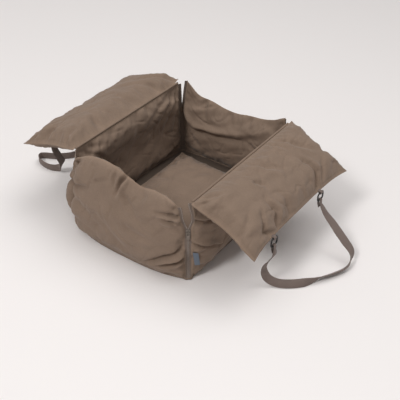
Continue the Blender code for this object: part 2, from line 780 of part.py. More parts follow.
def build_ring(name, y, pivot, palette, collection):
    """A wire ring whose upper bar lies on the handle's axis."""
    curve = bpy.data.curves.new(name, "CURVE")
    curve.dimensions = "3D"
    curve.bevel_depth = RING_WIRE_RADIUS
    curve.bevel_resolution = 1
    outline = rounded_rectangle(RING_WIDTH, RING_HEIGHT, RING_CORNER)
    spline = curve.splines.new("POLY")
    spline.points.add(len(outline) - 1)
    for point, (across, up) in zip(spline.points, outline):
        point.co = (0, y + across, up - RING_HEIGHT / 2, 1)
    spline.use_cyclic_u = True
    curve.materials.append(palette["ring"])
    ring = bpy.data.objects.new(name, curve)
    collection.objects.link(ring)
    ring.parent = pivot


# Route of each handle from its front ring to its back ring: outwards from the ring axis,
# towards the back of the seat, and height above the floor, with the webbing's width direction.
# The heights are those of a ring axis that hangs at the route's own axis height.
RIGHT_ROUTE_AXIS_HEIGHT = 0.19055
LEFT_ROUTE_AXIS_HEIGHT = 0.22170
RIGHT_ROUTE = [
    ((0.004, -0.149, 0.129), (0.00, 1.00, 0.00)),
    ((-0.008, -0.151, 0.105), (0.00, 1.00, 0.00)),
    ((-0.020, -0.153, 0.082), (0.05, 0.97, -0.20)),
    ((-0.025, -0.150, 0.054), (0.15, 0.90, 0.15)),
    ((-0.013, -0.145, 0.027), (0.31, 0.77, 0.56)),
    ((0.013, -0.133, 0.014), (-0.05, 0.65, 0.75)),
    ((0.045, -0.113, 0.013), (-0.33, 0.50, 0.80)),
    ((0.073, -0.086, 0.013), (-0.30, 0.42, 0.86)),
    ((0.093, -0.060, 0.014), (0.15, -0.15, 0.98)),
    ((0.107, -0.030, 0.013), (0.46, -0.60, 0.65)),
    ((0.126, 0.005, 0.012), (0.47, -0.64, 0.61)),
    ((0.143, 0.045, 0.014), (0.47, -0.64, 0.61)),
    ((0.142, 0.073, 0.025), (0.25, -0.85, 0.40)),
    ((0.130, 0.094, 0.040), (-0.10, -0.98, -0.05)),
    ((0.106, 0.098, 0.060), (-0.25, -0.92, -0.28)),
    ((0.078, 0.103, 0.081), (-0.25, -0.92, -0.28)),
    ((0.050, 0.110, 0.100), (-0.15, -0.97, -0.15)),
    ((0.024, 0.113, 0.120), (0.00, -1.00, 0.00)),
]
LEFT_ROUTE = [
    ((0.003, -0.141, 0.135), (0.00, 1.00, 0.00)),
    ((0.008, -0.121, 0.090), (-0.10, 0.85, 0.50)),
    ((0.017, -0.103, 0.052), (-0.25, 0.60, 0.75)),
    ((0.040, -0.100, 0.021), (-0.25, 0.25, 0.95)),
    ((0.075, -0.110, 0.014), (0.00, 0.00, 1.00)),
    ((0.111, -0.110, 0.014), (0.00, 0.00, 1.00)),
    ((0.142, -0.099, 0.014), (0.00, 0.00, 1.00)),
    ((0.153, -0.081, 0.014), (0.00, 0.00, 1.00)),
    ((0.140, -0.068, 0.014), (0.00, 0.00, 1.00)),
    ((0.105, -0.048, 0.014), (0.00, 0.00, 1.00)),
    ((0.068, -0.012, 0.014), (0.00, 0.00, 1.00)),
    ((0.052, 0.038, 0.014), (0.00, -0.05, 1.00)),
    ((0.042, 0.084, 0.022), (0.00, -0.40, 0.90)),
    ((0.024, 0.109, 0.062), (0.00, -0.90, 0.40)),
    ((0.010, 0.113, 0.125), (0.00, -1.00, 0.00)),
]


def ring_turn(y):
    """Route round a ring's lower bar, from the strap's folded-back end to its free side."""
    bar = Vector((0, y, -RING_HEIGHT))
    folded = RING_BAR_HOLD - WEBBING_THICKNESS - FOLD_GAP
    points = [bar + Vector((folded, 0, -FOLDED_END)),
              bar + Vector((-RING_BAR_HOLD, 0, -FOLDED_END / 2))]
    for step in range(TURN_STEPS + 1):
        angle = math.pi * (1 - step / TURN_STEPS)
        points.append(bar + Vector((math.cos(angle), 0, math.sin(angle))) * RING_BAR_HOLD)
    points.append(bar + Vector((RING_BAR_HOLD, 0, -FOLDED_END / 2)))
    return points


def between(before, start, end, after, part):
    """A point of the smooth curve from start to end that also heeds their neighbours."""
    return (2 * start + (end - before) * part
            + (2 * before - 5 * start + 4 * end - after) * part ** 2
            + (3 * start - before - 3 * end + after) * part ** 3) / 2


def free_run(keys):
    """Points and width directions of a handle between its two ring turns."""
    points = []
    directions = []
    last = len(keys) - 1
    for index in range(last):
        start, start_direction = keys[index]
        end, end_direction = keys[index + 1]
        before = keys[max(index - 1, 0)][0]
        after = keys[min(index + 2, last)][0]
        for step in range(1, ROUTE_STEPS + 1):
            part = step / ROUTE_STEPS
            points.append(between(before, start, end, after, part))
            directions.append(start_direction.slerp(end_direction, part))
    return points[:-1], directions[:-1]


def build_handle(side, turned, route, route_axis_height, pivot, axis_height, palette, collection):
    """One webbing handle: folded round both rings and lying on the floor between them."""
    rise = axis_height / route_axis_height
    along = Vector((0, 1, 0))
    front_turn = ring_turn(-RING_SHIFT - RING_PITCH / 2)
    back_turn = ring_turn(-RING_SHIFT + RING_PITCH / 2)[::-1]
    keys = [(front_turn[-1], along)]
    for (outward, back, height), direction in route:
        keys.append((Vector((outward, back, height * rise - axis_height)), Vector(direction).normalized()))
    keys.append((back_turn[0], -along))
    free_points, free_directions = free_run(keys)
    points = front_turn + free_points + back_turn
    widths = [NECK_WIDTH] * len(front_turn) + [WEBBING_WIDTH] * len(free_points)
    widths += [NECK_WIDTH] * len(back_turn)
    directions = [along] * len(front_turn) + free_directions + [-along] * len(back_turn)
    if turned:
        points = [Vector((point.x, -point.y, point.z)) for point in points]
        directions = [Vector((d.x, -d.y, d.z)) for d in directions]
    sections = webbing_sections(points, widths, directions, -axis_height)
    loft(side + "_handle_strap", sections, palette["webbing"], collection, pivot, smooth=True)


def build_side(side, sign, tilt, route, route_axis_height, palette, collection):
    """Hinge cord, flap, rings and handle of one side."""
    build_hinge_cord(side, sign, palette, collection)
    turned = sign < 0
    flap_pivot = make_pivot(side + "_flap_pivot", collection, (sign * RIM_WIDTH / 2, 0, RIM_HEIGHT),
                            (0, tilt, math.pi if turned else 0))
    build_flap(side, flap_pivot, palette, collection)
    handle_pivot = make_pivot(side + "_handle_pivot", collection, (RING_AXIS, 0, 0),
                              (0, -tilt, 0), flap_pivot)
    axis_height = RIM_HEIGHT - RING_AXIS * math.sin(tilt)
    for place, along in (("front", -1), ("back", 1)):
        y = (along * RING_PITCH / 2 - RING_SHIFT) * (-1 if turned else 1)
        build_tab(side + "_" + place + "_ring_tab", y, flap_pivot, palette, collection)
        build_ring(side + "_" + place + "_ring", y, handle_pivot, palette, collection)
    build_handle(side, turned, route, route_axis_height, handle_pivot, axis_height, palette, collection)


def build_label(wall, palette, collection):
    """The small bare side label, lying on the right wall beside the front zip."""
    def place(u, v):
        along = LABEL_START_SHARE + (LABEL_END_SHARE - LABEL_START_SHARE) * (u + 1) / 2
        rise = LABEL_FOOT_SHARE + (LABEL_TOP_SHARE - LABEL_FOOT_SHARE) * (v + 1) / 2
        return -along, 2 * rise - 1

    def face(standoff):
        def at(u, v):
            along, up = place(u, v)
            lift = standoff + LABEL_LIFT * (1 - u) / 2
            return wall.middle(along, up) + wall.normal(along, up) * (wall.outer_half(along, up) + lift)
        return at

    slab("side_label", LABEL_CELLS, LABEL_CELLS, face(LABEL_GAP), face(LABEL_GAP + LABEL_THICKNESS),
         palette["label"], collection)


def build_belt_loop(name, wall, x, palette, collection):
    """A webbing loop on the back wall that the car's belt passes through."""
    u = x / wall.half_run
    points = []
    for step in range(LOOP_STEPS + 1):
        share = step / LOOP_STEPS
        height = BELT_LOOP_MIDDLE + BELT_LOOP_HEIGHT * (share - 1 / 2)
        v = 2 * (height - WALL_FOOT) / (wall.rim(u) - WALL_FOOT) - 1
        surface = wall.middle(u, v) + wall.normal(u, v) * wall.outer_half(u, v)
        standoff = BELT_LOOP_GAP + WEBBING_THICKNESS / 2
        standoff += BELT_LOOP_STANDOFF * math.sin(math.pi * share) ** 2
        points.append(surface + wall.outward * standoff)
    count = len(points)
    sections = webbing_sections(points, [BELT_LOOP_WIDTH] * count, [wall.along] * count)
    loft(name, sections, palette["webbing"], collection)


def make_palette():
    """Every material of the seat."""
    return {
        "cloth": principled("brown_canvas", "#85725F", 0.85),
        "filling": principled("white_wadding", "#E4E0D8", 0.95),
        "base": principled("base_canvas", "#5E5146", 0.90),
        "board": principled("grey_board", "#6E6A66", 0.70),
        "webbing": principled("brown_webbing", "#6B5D57", 0.80),
        "ring": principled("black_coated_steel", "#1B1A1A", 0.40, 0.6),
        "tape": principled("grey_zip_tape", "#A09894", 0.75),
        "metal": principled("dark_zinc", "#3A3836", 0.35, 1.0),
        "label": principled("blue_grey_label", "#7F93A8", 0.80),
    }


def main():
    """Build the whole seat."""
    clear_scene()
    seat = make_collection("dog_car_seat")
    cutters = make_collection("cutters")
    palette = make_palette()
    walls = make_walls()
    build_base(walls, palette, seat)
    for wall in walls.values():
        build_wall(wall, palette, seat)
    build_cushion(palette, seat)
    for corner in CORNERS:
        build_zip(corner, walls, palette, seat, cutters)
    build_side("left", -1, LEFT_FLAP_TILT, LEFT_ROUTE, LEFT_ROUTE_AXIS_HEIGHT, palette, seat)
    build_side("right", 1, RIGHT_FLAP_TILT, RIGHT_ROUTE, RIGHT_ROUTE_AXIS_HEIGHT, palette, seat)
    build_label(walls["right"], palette, seat)
    build_belt_loop("left_belt_loop", walls["back"], -BELT_LOOP_HALF_SPACING, palette, seat)
    build_belt_loop("right_belt_loop", walls["back"], BELT_LOOP_HALF_SPACING, palette, seat)


main()
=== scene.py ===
"""Dresses the small dog's car seat: stuffed canvas covers, zips, webbing and stitches.

Each quilted wall, flap and cushion of the solid model gets a sewn cover that is
filled out by a short cloth simulation.  Zips, straps, rings, loops and the label
follow the same lines as the solids that they stand for.
"""

import json
import math
from dataclasses import dataclass, field

import bmesh
import bpy
import numpy as np
from mathutils import Euler, Matrix, Vector, kdtree, noise


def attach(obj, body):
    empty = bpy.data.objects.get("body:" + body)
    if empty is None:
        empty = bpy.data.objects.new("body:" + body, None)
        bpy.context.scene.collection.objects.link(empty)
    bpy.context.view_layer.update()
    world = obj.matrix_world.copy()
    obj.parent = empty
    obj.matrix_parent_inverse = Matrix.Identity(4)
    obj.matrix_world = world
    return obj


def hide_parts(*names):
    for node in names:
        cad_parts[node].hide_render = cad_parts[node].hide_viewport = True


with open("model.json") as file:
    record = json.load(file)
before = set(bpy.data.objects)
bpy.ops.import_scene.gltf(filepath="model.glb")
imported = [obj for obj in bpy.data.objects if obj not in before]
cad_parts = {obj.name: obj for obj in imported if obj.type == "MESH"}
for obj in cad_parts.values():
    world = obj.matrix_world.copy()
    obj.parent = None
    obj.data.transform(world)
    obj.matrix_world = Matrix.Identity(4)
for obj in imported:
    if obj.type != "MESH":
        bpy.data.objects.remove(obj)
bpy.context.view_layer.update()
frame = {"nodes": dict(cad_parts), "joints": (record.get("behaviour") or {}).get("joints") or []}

bl_info = {
    "name": "Dog car seat",
    "version": (1, 0, 0),
    "blender": (4, 5, 0),
    "location": "View3D > Sidebar > Dog seat",
    "description": "Quilted car seat for a small dog with fold-out flaps",
    "category": "Object",
}

JOINTS = {joint["name"]: joint for joint in frame["joints"]}
HINGE = JOINTS["right_flap_fold"]["pos_m"]

# Places that the solid model shares with this script
RIM_WIDTH = 2 * HINGE[0]
RIM_HEIGHT = HINGE[2]
RIM_LENGTH = 0.520
FLAP_REACH = 0.235
FLAP_OUTER_DRAW = 0.016
FLAP_TILTS = {"left": math.radians(16.2), "right": math.radians(24.6)}
EDGE_HALF = 0.0023
BASE_THICKNESS = 0.003
SEAM_GAP = 0.0004
WALL_FOOT = BASE_THICKNESS + SEAM_GAP
CUSHION_REST = 0.0208
WEBBING_THICKNESS = 0.0024
BELT_LOOP_PLACES = {"left": -0.120, "right": 0.120}

# Corner zips
COIL_HALF_GAP = 0.0008
COIL_WIDTH = 0.0024
TAPE_WIDTH = 0.0108
TAPE_END = COIL_HALF_GAP + COIL_WIDTH + TAPE_WIDTH
WALL_EDGE = TAPE_END + SEAM_GAP
EDGE_STEP = WALL_EDGE / math.sqrt(2)
CORNER_X = RIM_WIDTH / 2 - EDGE_STEP
CORNER_Y = RIM_LENGTH / 2
ZIP_OPEN_HEIGHT = 0.190
SPREAD_POWER = 1.3

# The covers come closer to the zips' middle lines than the solid walls do.  Each wall
# keeps its face where the solid's is; only its last two centimetres turn out to the zip
COVER_EDGE = 0.0082
CORNER_TURN = (WALL_EDGE - COVER_EDGE) / math.sqrt(2)
CORNER_POWER = 30

# The covers' edges at a flap's hinge lie just inside the piping that joins them
HINGE_PIPING_RADIUS = 0.0036
HINGE_SEAT = 0.0030
HINGE_STEPS = 130
HINGE_RIPPLE = 0.0004
HINGE_RIPPLE_RATE = 90

# Rings and the handles' route
RING_WIDTH = 0.030
RING_HEIGHT = 0.028
RING_CORNER = 0.009
RING_WIRE_RADIUS = 0.0023
RING_CLEARANCE = 0.00055
RING_PITCH = 0.260
RING_SHIFT = 0.018
TAB_LENGTH = 0.0075
TAB_SEAT_GAP = 0.0009
RING_AXIS = FLAP_REACH - FLAP_OUTER_DRAW + SEAM_GAP + TAB_LENGTH
RING_BAR_HOLD = RING_WIRE_RADIUS + RING_CLEARANCE + WEBBING_THICKNESS / 2
NECK_WIDTH = 0.011
FOLDED_END = 0.026
FOLD_GAP = 0.0018

UP = Vector((0, 0, 1))
ALONG = Vector((0, 1, 0))


def linear(text):
    """Linear colour with full opacity from an sRGB hex value."""
    channels = [int(text[i:i + 2], 16) / 255 for i in (1, 3, 5)]
    values = [c / 12.92 if c <= 0.04045 else ((c + 0.055) / 1.055) ** 2.4 for c in channels]
    return (*values, 1.0)


def length_property(name, description, default):
    """A length that a user may change, shown in scene units."""
    return bpy.props.FloatProperty(name=name, description=description, default=default,
                                   subtype="DISTANCE", unit="LENGTH")


def colour_property(name, description, default):
    """A colour that a user may change, given as an sRGB hex value."""
    return bpy.props.FloatVectorProperty(name=name, description=description, size=4,
                                         subtype="COLOR", default=linear(default), min=0, max=1)


class SeatSizes(bpy.types.PropertyGroup):
    """Sizes of the seat's sewn parts."""

    end_lining: length_property("End wall lining", "From a short wall's middle to its lining", 0.019)
    side_lining: length_property("Side wall lining", "From a long wall's middle to its lining", 0.022)
    front_outer: length_property("Front wall face", "From its middle to its outer face", 0.028)
    back_outer: length_property("Back wall face", "From its middle to its outer face", 0.019)
    left_outer: length_property("Left wall face", "From its middle to its outer face", 0.038)
    right_outer: length_property("Right wall face", "From its middle to its outer face", 0.028)
    flap_top: length_property("Flap crown", "From a flap's middle to its upper face", 0.046)
    flap_under: length_property("Flap underside", "From a flap's middle to its lower face", 0.030)
    cushion_top: length_property("Cushion crown", "From the cushion's seam to its top", 0.032)
    cushion_under: length_property("Cushion underside", "From the cushion's seam to its rest", 0.012)
    cell: length_property("Cloth cell", "Side of one cell of the simulated cloth", 0.0074)
    webbing_width: length_property("Webbing width", "Width of the carrying handles", 0.026)
    seam_radius: length_property("Seam radius", "Half the thickness of a turned seam", 0.0013)
    stitch_pitch: length_property("Stitch pitch", "From one stitch to the next", 0.0042)
    stitch_length: length_property("Stitch length", "Visible length of one stitch", 0.0030)
    thread_radius: length_property("Thread radius", "Half the sewing thread's thickness", 0.0004)
    coil_pitch: length_property("Coil pitch", "From one turn of a zip's coil to the next", 0.0018)


class SeatFilling(bpy.types.PropertyGroup):
    """How the stuffed covers fill out."""

    pressure: bpy.props.FloatProperty(name="Pressure", default=2.5, min=0,
                                      description="Pressure of the filling on its cover")
    slack: bpy.props.FloatProperty(name="Slack", default=0.035, min=0, subtype="FACTOR",
                                   description="Share of spare cloth that gathers into wrinkles")
    frames: bpy.props.IntProperty(name="Frames", default=20, min=1,
                                  description="Length of the simulation")
    cap: length_property("Largest movement", "How far the filling may push a point", 0.009)
    proud: length_property("Standing proud", "How far a cover may stand off its solid", 0.003)
    rumple: length_property("Rumple", "Height of the small wrinkles", 0.0024)
    creases: bpy.props.FloatProperty(name="Creases", default=1.35, min=0,
                                     description="Depth of the long creases against that drawn for each")


class SeatColours(bpy.types.PropertyGroup):
    """Colours of the seat's materials."""

    canvas: colour_property("Canvas", "Outer cloth and lining", "#806D5E")
    canvas_worn: colour_property("Worn canvas", "Cloth where a seam rubs", "#937D6B")
    thread: colour_property("Thread", "Sewing thread", "#72634F")
    webbing: colour_property("Webbing", "Handles and loops", "#70625B")
    tape: colour_property("Zip tape", "Woven tape of the zips", "#75675D")
    coil: colour_property("Zip coil", "Moulded coil of the zips", "#9A8E86")
    ring: colour_property("Rings", "Coated wire rings", "#1D1B1B")
    slider: colour_property("Sliders", "Cast sliders and pullers", "#7C746C")
    label: colour_property("Label", "Bare woven label", "#535D6A")
    base: colour_property("Base", "Coated cloth under the seat", "#5E5146")
    board: colour_property("Board", "Stiff board in the base", "#6E6A66")
    floor: colour_property("Floor", "Studio floor", "#F2EDEB")


def sizes():
    """The sizes in use."""
    return bpy.context.scene.seat_sizes


def filling():
    """The filling values in use."""
    return bpy.context.scene.seat_filling


def colours():
    """The colours in use."""
    return bpy.context.scene.seat_colours


# Materials

def add_node(tree, kind, inputs=None, **settings):
    """Add one node; an input takes a value or the socket that feeds it."""
    node = tree.nodes.new(kind)
    for name, value in settings.items():
        setattr(node, name, value)
    for key, value in (inputs or {}).items():
        if isinstance(value, bpy.types.NodeSocket):
            tree.links.new(value, node.inputs[key])
        else:
            node.inputs[key].default_value = value
    return node


def start_material(name, roughness, **values):
    """A material with its shader's even values set on the shader itself."""
    material = bpy.data.materials.new(name)
    material.use_nodes = True
    shader = material.node_tree.nodes["Principled BSDF"]
    shader.inputs["Roughness"].default_value = roughness
    for key, value in values.items():
        shader.inputs[key.replace("_", " ")].default_value = value
    return material, material.node_tree, shader


def wave_scale(pitch):
    """Scale of a wave texture whose bands stand a pitch apart, in metres."""
    return math.pi / 10 / pitch


def tone_and_bump(tree, shader, colour, marks, span, tones, height, strength, depth):
    """Darken a colour where marks are low in their span, lighten it where high, and add relief."""
    tone = add_node(tree, "ShaderNodeMapRange", {"Value": marks, "From Min": span[0], "From Max": span[1],
                                                 "To Min": tones[0], "To Max": tones[1]})
    base = add_node(tree, "ShaderNodeVectorMath", {0: tuple(colour)[:3],
                                                   "Scale": tone.outputs["Result"]},
                    operation="SCALE")
    bump = add_node(tree, "ShaderNodeBump", {"Strength": strength, "Distance": depth,
                                             "Height": height})
    tree.links.new(base.outputs["Vector"], shader.inputs["Base Color"])
    tree.links.new(bump.outputs["Normal"], shader.inputs["Normal"])


def soiled(tree, place, pattern, scale):
    """A woven pattern with cloudy soil added to it."""
    soil = add_node(tree, "ShaderNodeTexNoise", {"Vector": place, "Scale": scale, "Detail": 4.0})
    mixed = add_node(tree, "ShaderNodeMath", {0: pattern, 1: soil.outputs["Fac"]}, operation="ADD")
    return mixed.outputs["Value"]


def washed_canvas():
    """Cotton canvas, plain woven and washed: matt, soft, mottled and paler along rubbed seams."""
    material, tree, shader = start_material("washed_cotton_canvas", 0.86, Sheen_Weight=0.12,
                                            Sheen_Roughness=0.45, Specular_IOR_Level=0.25)
    place = add_node(tree, "ShaderNodeUVMap", uv_map="cloth").outputs["UV"]
    # The real threads stand about 0.6 mm apart; at 1.7 mm they just show up close
    threads_in = {"Vector": place, "Scale": wave_scale(0.0017), "Distortion": 1.2, "Detail Scale": 2.0}
    warp, weft = (add_node(tree, "ShaderNodeTexWave", threads_in, bands_direction=way).outputs["Fac"]
                  for way in "XY")
    weave = add_node(tree, "ShaderNodeMath", {0: warp, 1: weft}, operation="MULTIPLY")
    clouds = add_node(tree, "ShaderNodeTexNoise", {"Vector": place, "Scale": 16.0, "Detail": 5.0,
                                                   "Roughness": 0.6})
    specks = add_node(tree, "ShaderNodeTexNoise", {"Vector": place, "Scale": 260.0, "Detail": 3.0})
    tint = add_node(tree, "ShaderNodeMapRange", {"Value": clouds.outputs["Fac"], "From Min": 0.3,
                                                 "From Max": 0.7, "To Min": 0.92, "To Max": 1.06})
    grain = add_node(tree, "ShaderNodeMapRange", {"Value": specks.outputs["Fac"], "From Min": 0.3,
                                                  "From Max": 0.7, "To Min": 0.95, "To Max": 1.05})
    shade = add_node(tree, "ShaderNodeMath", {0: tint.outputs["Result"], 1: grain.outputs["Result"]},
                     operation="MULTIPLY")
    rub = add_node(tree, "ShaderNodeAttribute", attribute_name="rub").outputs["Fac"]
    cloth = add_node(tree, "ShaderNodeMix", {0: rub, 6: colours().canvas, 7: colours().canvas_worn},
                     data_type="RGBA").outputs[2]
    toned = add_node(tree, "ShaderNodeVectorMath", {0: cloth, "Scale": shade.outputs["Value"]},
                     operation="SCALE")
    tree.links.new(toned.outputs["Vector"], shader.inputs["Base Color"])
    crumple = add_node(tree, "ShaderNodeTexNoise", {"Vector": place, "Scale": 24.0, "Detail": 4.0,
                                                    "Roughness": 0.55, "Distortion": 0.8},
                       noise_type="RIDGED_MULTIFRACTAL", normalize=True)
    soft = add_node(tree, "ShaderNodeBump", {"Strength": 0.5, "Distance": 0.004,
                                             "Height": crumple.outputs["Fac"]}, invert=True)
    threads = add_node(tree, "ShaderNodeBump", {"Strength": 0.25, "Distance": 0.0004,
                                                "Height": weave.outputs["Value"],
                                                "Normal": soft.outputs["Normal"]})
    tree.links.new(threads.outputs["Normal"], shader.inputs["Normal"])
    return material


def ribbed_webbing():
    """Woven polyester webbing: fine ribs along it with a herringbone, slightly lustrous."""
    material, tree, shader = start_material("woven_polyester_webbing", 0.72, Sheen_Weight=0.1,
                                            Specular_IOR_Level=0.35)
    place = add_node(tree, "ShaderNodeUVMap", uv_map="cloth").outputs["UV"]
    # Ribs 2.2 mm wide stand for the finer ones of the real tape
    ribs = add_node(tree, "ShaderNodeTexWave", {"Vector": place, "Scale": wave_scale(0.0022)},
                    bands_direction="X", wave_profile="TRI")
    picks = add_node(tree, "ShaderNodeTexWave", {"Vector": place, "Scale": wave_scale(0.0015),
                                                 "Distortion": 0.5}, bands_direction="DIAGONAL")
    weave = add_node(tree, "ShaderNodeMath", {0: ribs.outputs["Fac"], 1: picks.outputs["Fac"]},
                     operation="MULTIPLY")
    marks = soiled(tree, place, weave.outputs["Value"], scale=45.0)
    tone_and_bump(tree, shader, colours().webbing, marks, span=(0.3, 1.4), tones=(0.82, 1.12),
                  height=weave.outputs["Value"], strength=0.5, depth=0.0004)
    return material


def twill_tape():
    """Woven polyester zip tape: fine twill, matt, soiled a little along its length."""
    material, tree, shader = start_material("woven_polyester_zip_tape", 0.8,
                                            Specular_IOR_Level=0.3)
    place = add_node(tree, "ShaderNodeTexCoord").outputs["Object"]
    # Twill lines are drawn at 1.5 mm, twice their real spacing
    twill = add_node(tree, "ShaderNodeTexWave", {"Vector": place, "Scale": wave_scale(0.0015)},
                     bands_direction="DIAGONAL")
    marks = soiled(tree, place, twill.outputs["Fac"], scale=60.0)
    tone_and_bump(tree, shader, colours().tape, marks, span=(0.3, 1.5), tones=(0.85, 1.08),
                  height=twill.outputs["Fac"], strength=0.3, depth=0.0002)
    return material


def speckled(name, colour, roughness, spread, grain, bump_depth, **values):
    """A material whose tone and roughness wander with a fine grain given in metres."""
    material, tree, shader = start_material(name, roughness, **values)
    place = add_node(tree, "ShaderNodeTexCoord").outputs["Object"]
    noise_in = {"Vector": place, "Scale": 1 / grain, "Detail": 4.0}
    marks = add_node(tree, "ShaderNodeTexNoise", noise_in).outputs["Fac"]
    tone_and_bump(tree, shader, colour, marks, span=(0.3, 0.7), tones=(1 - spread, 1 + spread),
                  height=marks, strength=0.3, depth=bump_depth)
    gloss = add_node(tree, "ShaderNodeMapRange", {"Value": marks, "From Min": 0.3, "From Max": 0.7,
                                                  "To Min": roughness * 0.85,
                                                  "To Max": min(roughness * 1.15, 1.0)})
    tree.links.new(gloss.outputs["Result"], shader.inputs["Roughness"])
    return material


def sewing_thread():
    """Spun polyester thread: matt, a tone darker than the cloth it holds."""
    return speckled("spun_polyester_thread", colours().thread, roughness=0.75, spread=0.08,
                    grain=0.002, bump_depth=0.0001)


def zip_coil():
    """Moulded nylon coil: smooth with a soft gleam along each turn."""
    return speckled("moulded_nylon_coil", colours().coil, roughness=0.42, spread=0.05,
                    grain=0.004, bump_depth=0.00005)


def coated_wire():
    """Steel wire with a black powder coat: dull, with a faint orange-peel skin."""
    return speckled("powder_coated_steel", colours().ring, roughness=0.55, spread=0.15,
                    grain=0.0015, bump_depth=0.0001, Specular_IOR_Level=0.3)


def cast_zinc():
    """Cast zinc with a plated grey finish: metallic, a little duller where it was tumbled."""
    return speckled("plated_cast_zinc", colours().slider, roughness=0.34, spread=0.12,
                    grain=0.002, bump_depth=0.00008, Metallic=1.0)


def woven_label_cloth():
    """Woven satin label, left bare: fine even threads with a cool sheen."""
    return speckled("woven_satin_label", colours().label, roughness=0.6, spread=0.07,
                    grain=0.0012, bump_depth=0.0001, Sheen_Weight=0.25)


def coated_base_cloth():
    """Coated polyester under the seat: dark, pebbled and hard wearing."""
    return speckled("coated_polyester_cloth", colours().base, roughness=0.7, spread=0.1,
                    grain=0.0025, bump_depth=0.0003)


def pressed_board():
    """Pressed fibre board: dull, flecked and slightly rough."""
    return speckled("pressed_fibre_board", colours().board, roughness=0.85, spread=0.12,
                    grain=0.003, bump_depth=0.0003)


MATERIAL_MAKERS = {
    "canvas": washed_canvas,
    "webbing": ribbed_webbing,
    "tape": twill_tape,
    "thread": sewing_thread,
    "coil": zip_coil,
    "ring": coated_wire,
    "slider": cast_zinc,
    "label": woven_label_cloth,
    "base": coated_base_cloth,
    "board": pressed_board,
}
made_materials = {}


def finish_of(name):
    """A finish's material, made once."""
    if name not in made_materials:
        made_materials[name] = MATERIAL_MAKERS[name]()
    return made_materials[name]


# Mesh helpers

def swell(distance, reach):
    """Rise from nothing at an edge to one well inside it."""
    return 1 - math.exp(-max(distance, 0) / reach)


def smooth_steps(shares, position):
    """Read evenly spaced shares at a position from 0 to 1, rounded between them."""
    last = len(shares) - 1
    place = min(max(position, 0), 1) * last
    index = min(int(place), last - 1)
    part = place - index
    before = shares[max(index - 1, 0)]
    start = shares[index]
    end = shares[index + 1]
    after = shares[min(index + 2, last)]
    return between(before, start, end, after, part)


def between(before, start, end, after, part):
    """A value on the smooth curve from start to end that also heeds their neighbours."""
    return (2 * start + (end - before) * part
            + (2 * before - 5 * start + 4 * end - after) * part ** 2
            + (3 * start - before - 3 * end + after) * part ** 3) / 2


def in_scene(name, data):
    """A new object that shows a mesh, lamp or camera."""
    holder = bpy.data.objects.new(name, data)
    bpy.context.scene.collection.objects.link(holder)
    return holder


def new_piece(name, points, faces, finish):
    """A smooth object at the origin from points and faces, with outward normals."""
    mesh = bpy.data.meshes.new(name)
    mesh.from_pydata([tuple(point) for point in points], [], faces)
    builder = bmesh.new()
    builder.from_mesh(mesh)
    bmesh.ops.recalc_face_normals(builder, faces=builder.faces[:])
    if builder.calc_volume(signed=True) < 0:
        bmesh.ops.reverse_faces(builder, faces=builder.faces[:])
    builder.to_mesh(mesh)
    builder.free()
    mesh.shade_smooth()
    mesh.set_sharp_from_angle(angle=math.radians(50))
    mesh.materials.append(finish_of(finish))
    return in_scene(name, mesh)


def apply_modifiers(piece):
    """Turn a piece with its modifiers into a plain mesh."""
    bpy.context.view_layer.update()
    depsgraph = bpy.context.evaluated_depsgraph_get()
    mesh = bpy.data.meshes.new_from_object(piece.evaluated_get(depsgraph), depsgraph=depsgraph)
    piece.modifiers.clear()
    old = piece.data
    piece.data = mesh
    bpy.data.meshes.remove(old)
    mesh.name = piece.name


def place_piece(piece, body, replaced=()):
    """Let a piece ride on its body and stand for its solids."""
    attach(piece, body)
    if replaced:
        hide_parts(*replaced)


def sweep(name, points, radius, finish, sides=8, closed=False):
    """A round cord along a run of points."""
    count = len(points)
    reference = UP
    rings = []
    for index, point in enumerate(points):
        if closed:
            tangent = points[(index + 1) % count] - points[index - 1]
        else:
            tangent = points[min(index + 1, count - 1)] - points[max(index - 1, 0)]
        tangent.normalize()
        if abs(reference.dot(tangent)) > 0.9:
            reference = Vector((1, 0, 0)) if abs(tangent.x) < 0.7 else Vector((0, 1, 0))
        across = (reference - tangent * reference.dot(tangent)).normalized()
        reference = across
        other = tangent.cross(across)
        rings.append([point + (across * math.cos(a) + other * math.sin(a)) * radius
                      for a in (2 * math.pi * k / sides for k in range(sides))])
    return tube_piece(name, rings, finish, closed)


def tube_piece(name, rings, finish, closed=False, widths=None):
    """A closed skin over like rings of points, with cloth coordinates in metres."""
    sides = len(rings[0])
    count = len(rings)
    faces = []
    for k in range(count if closed else count - 1):
        following = (k + 1) % count
        for i in range(sides):
            j = (i + 1) % sides
            faces.append((k * sides + i, k * sides + j, following * sides + j, following * sides + i))
    if not closed:
        faces.append(tuple(range(sides)))
        faces.append(tuple((count - 1) * sides + i for i in range(sides)))
    piece = new_piece(name, [point for ring in rings for point in ring], faces, finish)
    runs = [0.0]
    for ring, following in zip(rings, rings[1:]):
        runs.append(runs[-1] + (following[0] - ring[0]).length)
    around = [0.0]
    for i in range(1, sides):
        around.append(around[-1] + (rings[0][i] - rings[0][i - 1]).length)
    cloth = piece.data.uv_layers.new(name="cloth")
    for loop in piece.data.loops:
        ring_index, side = divmod(loop.vertex_index, sides)
        across = around[side] if widths is None else widths[side]
        cloth.data[loop.index].uv = (across, runs[ring_index])
    return piece


# Walls and corners

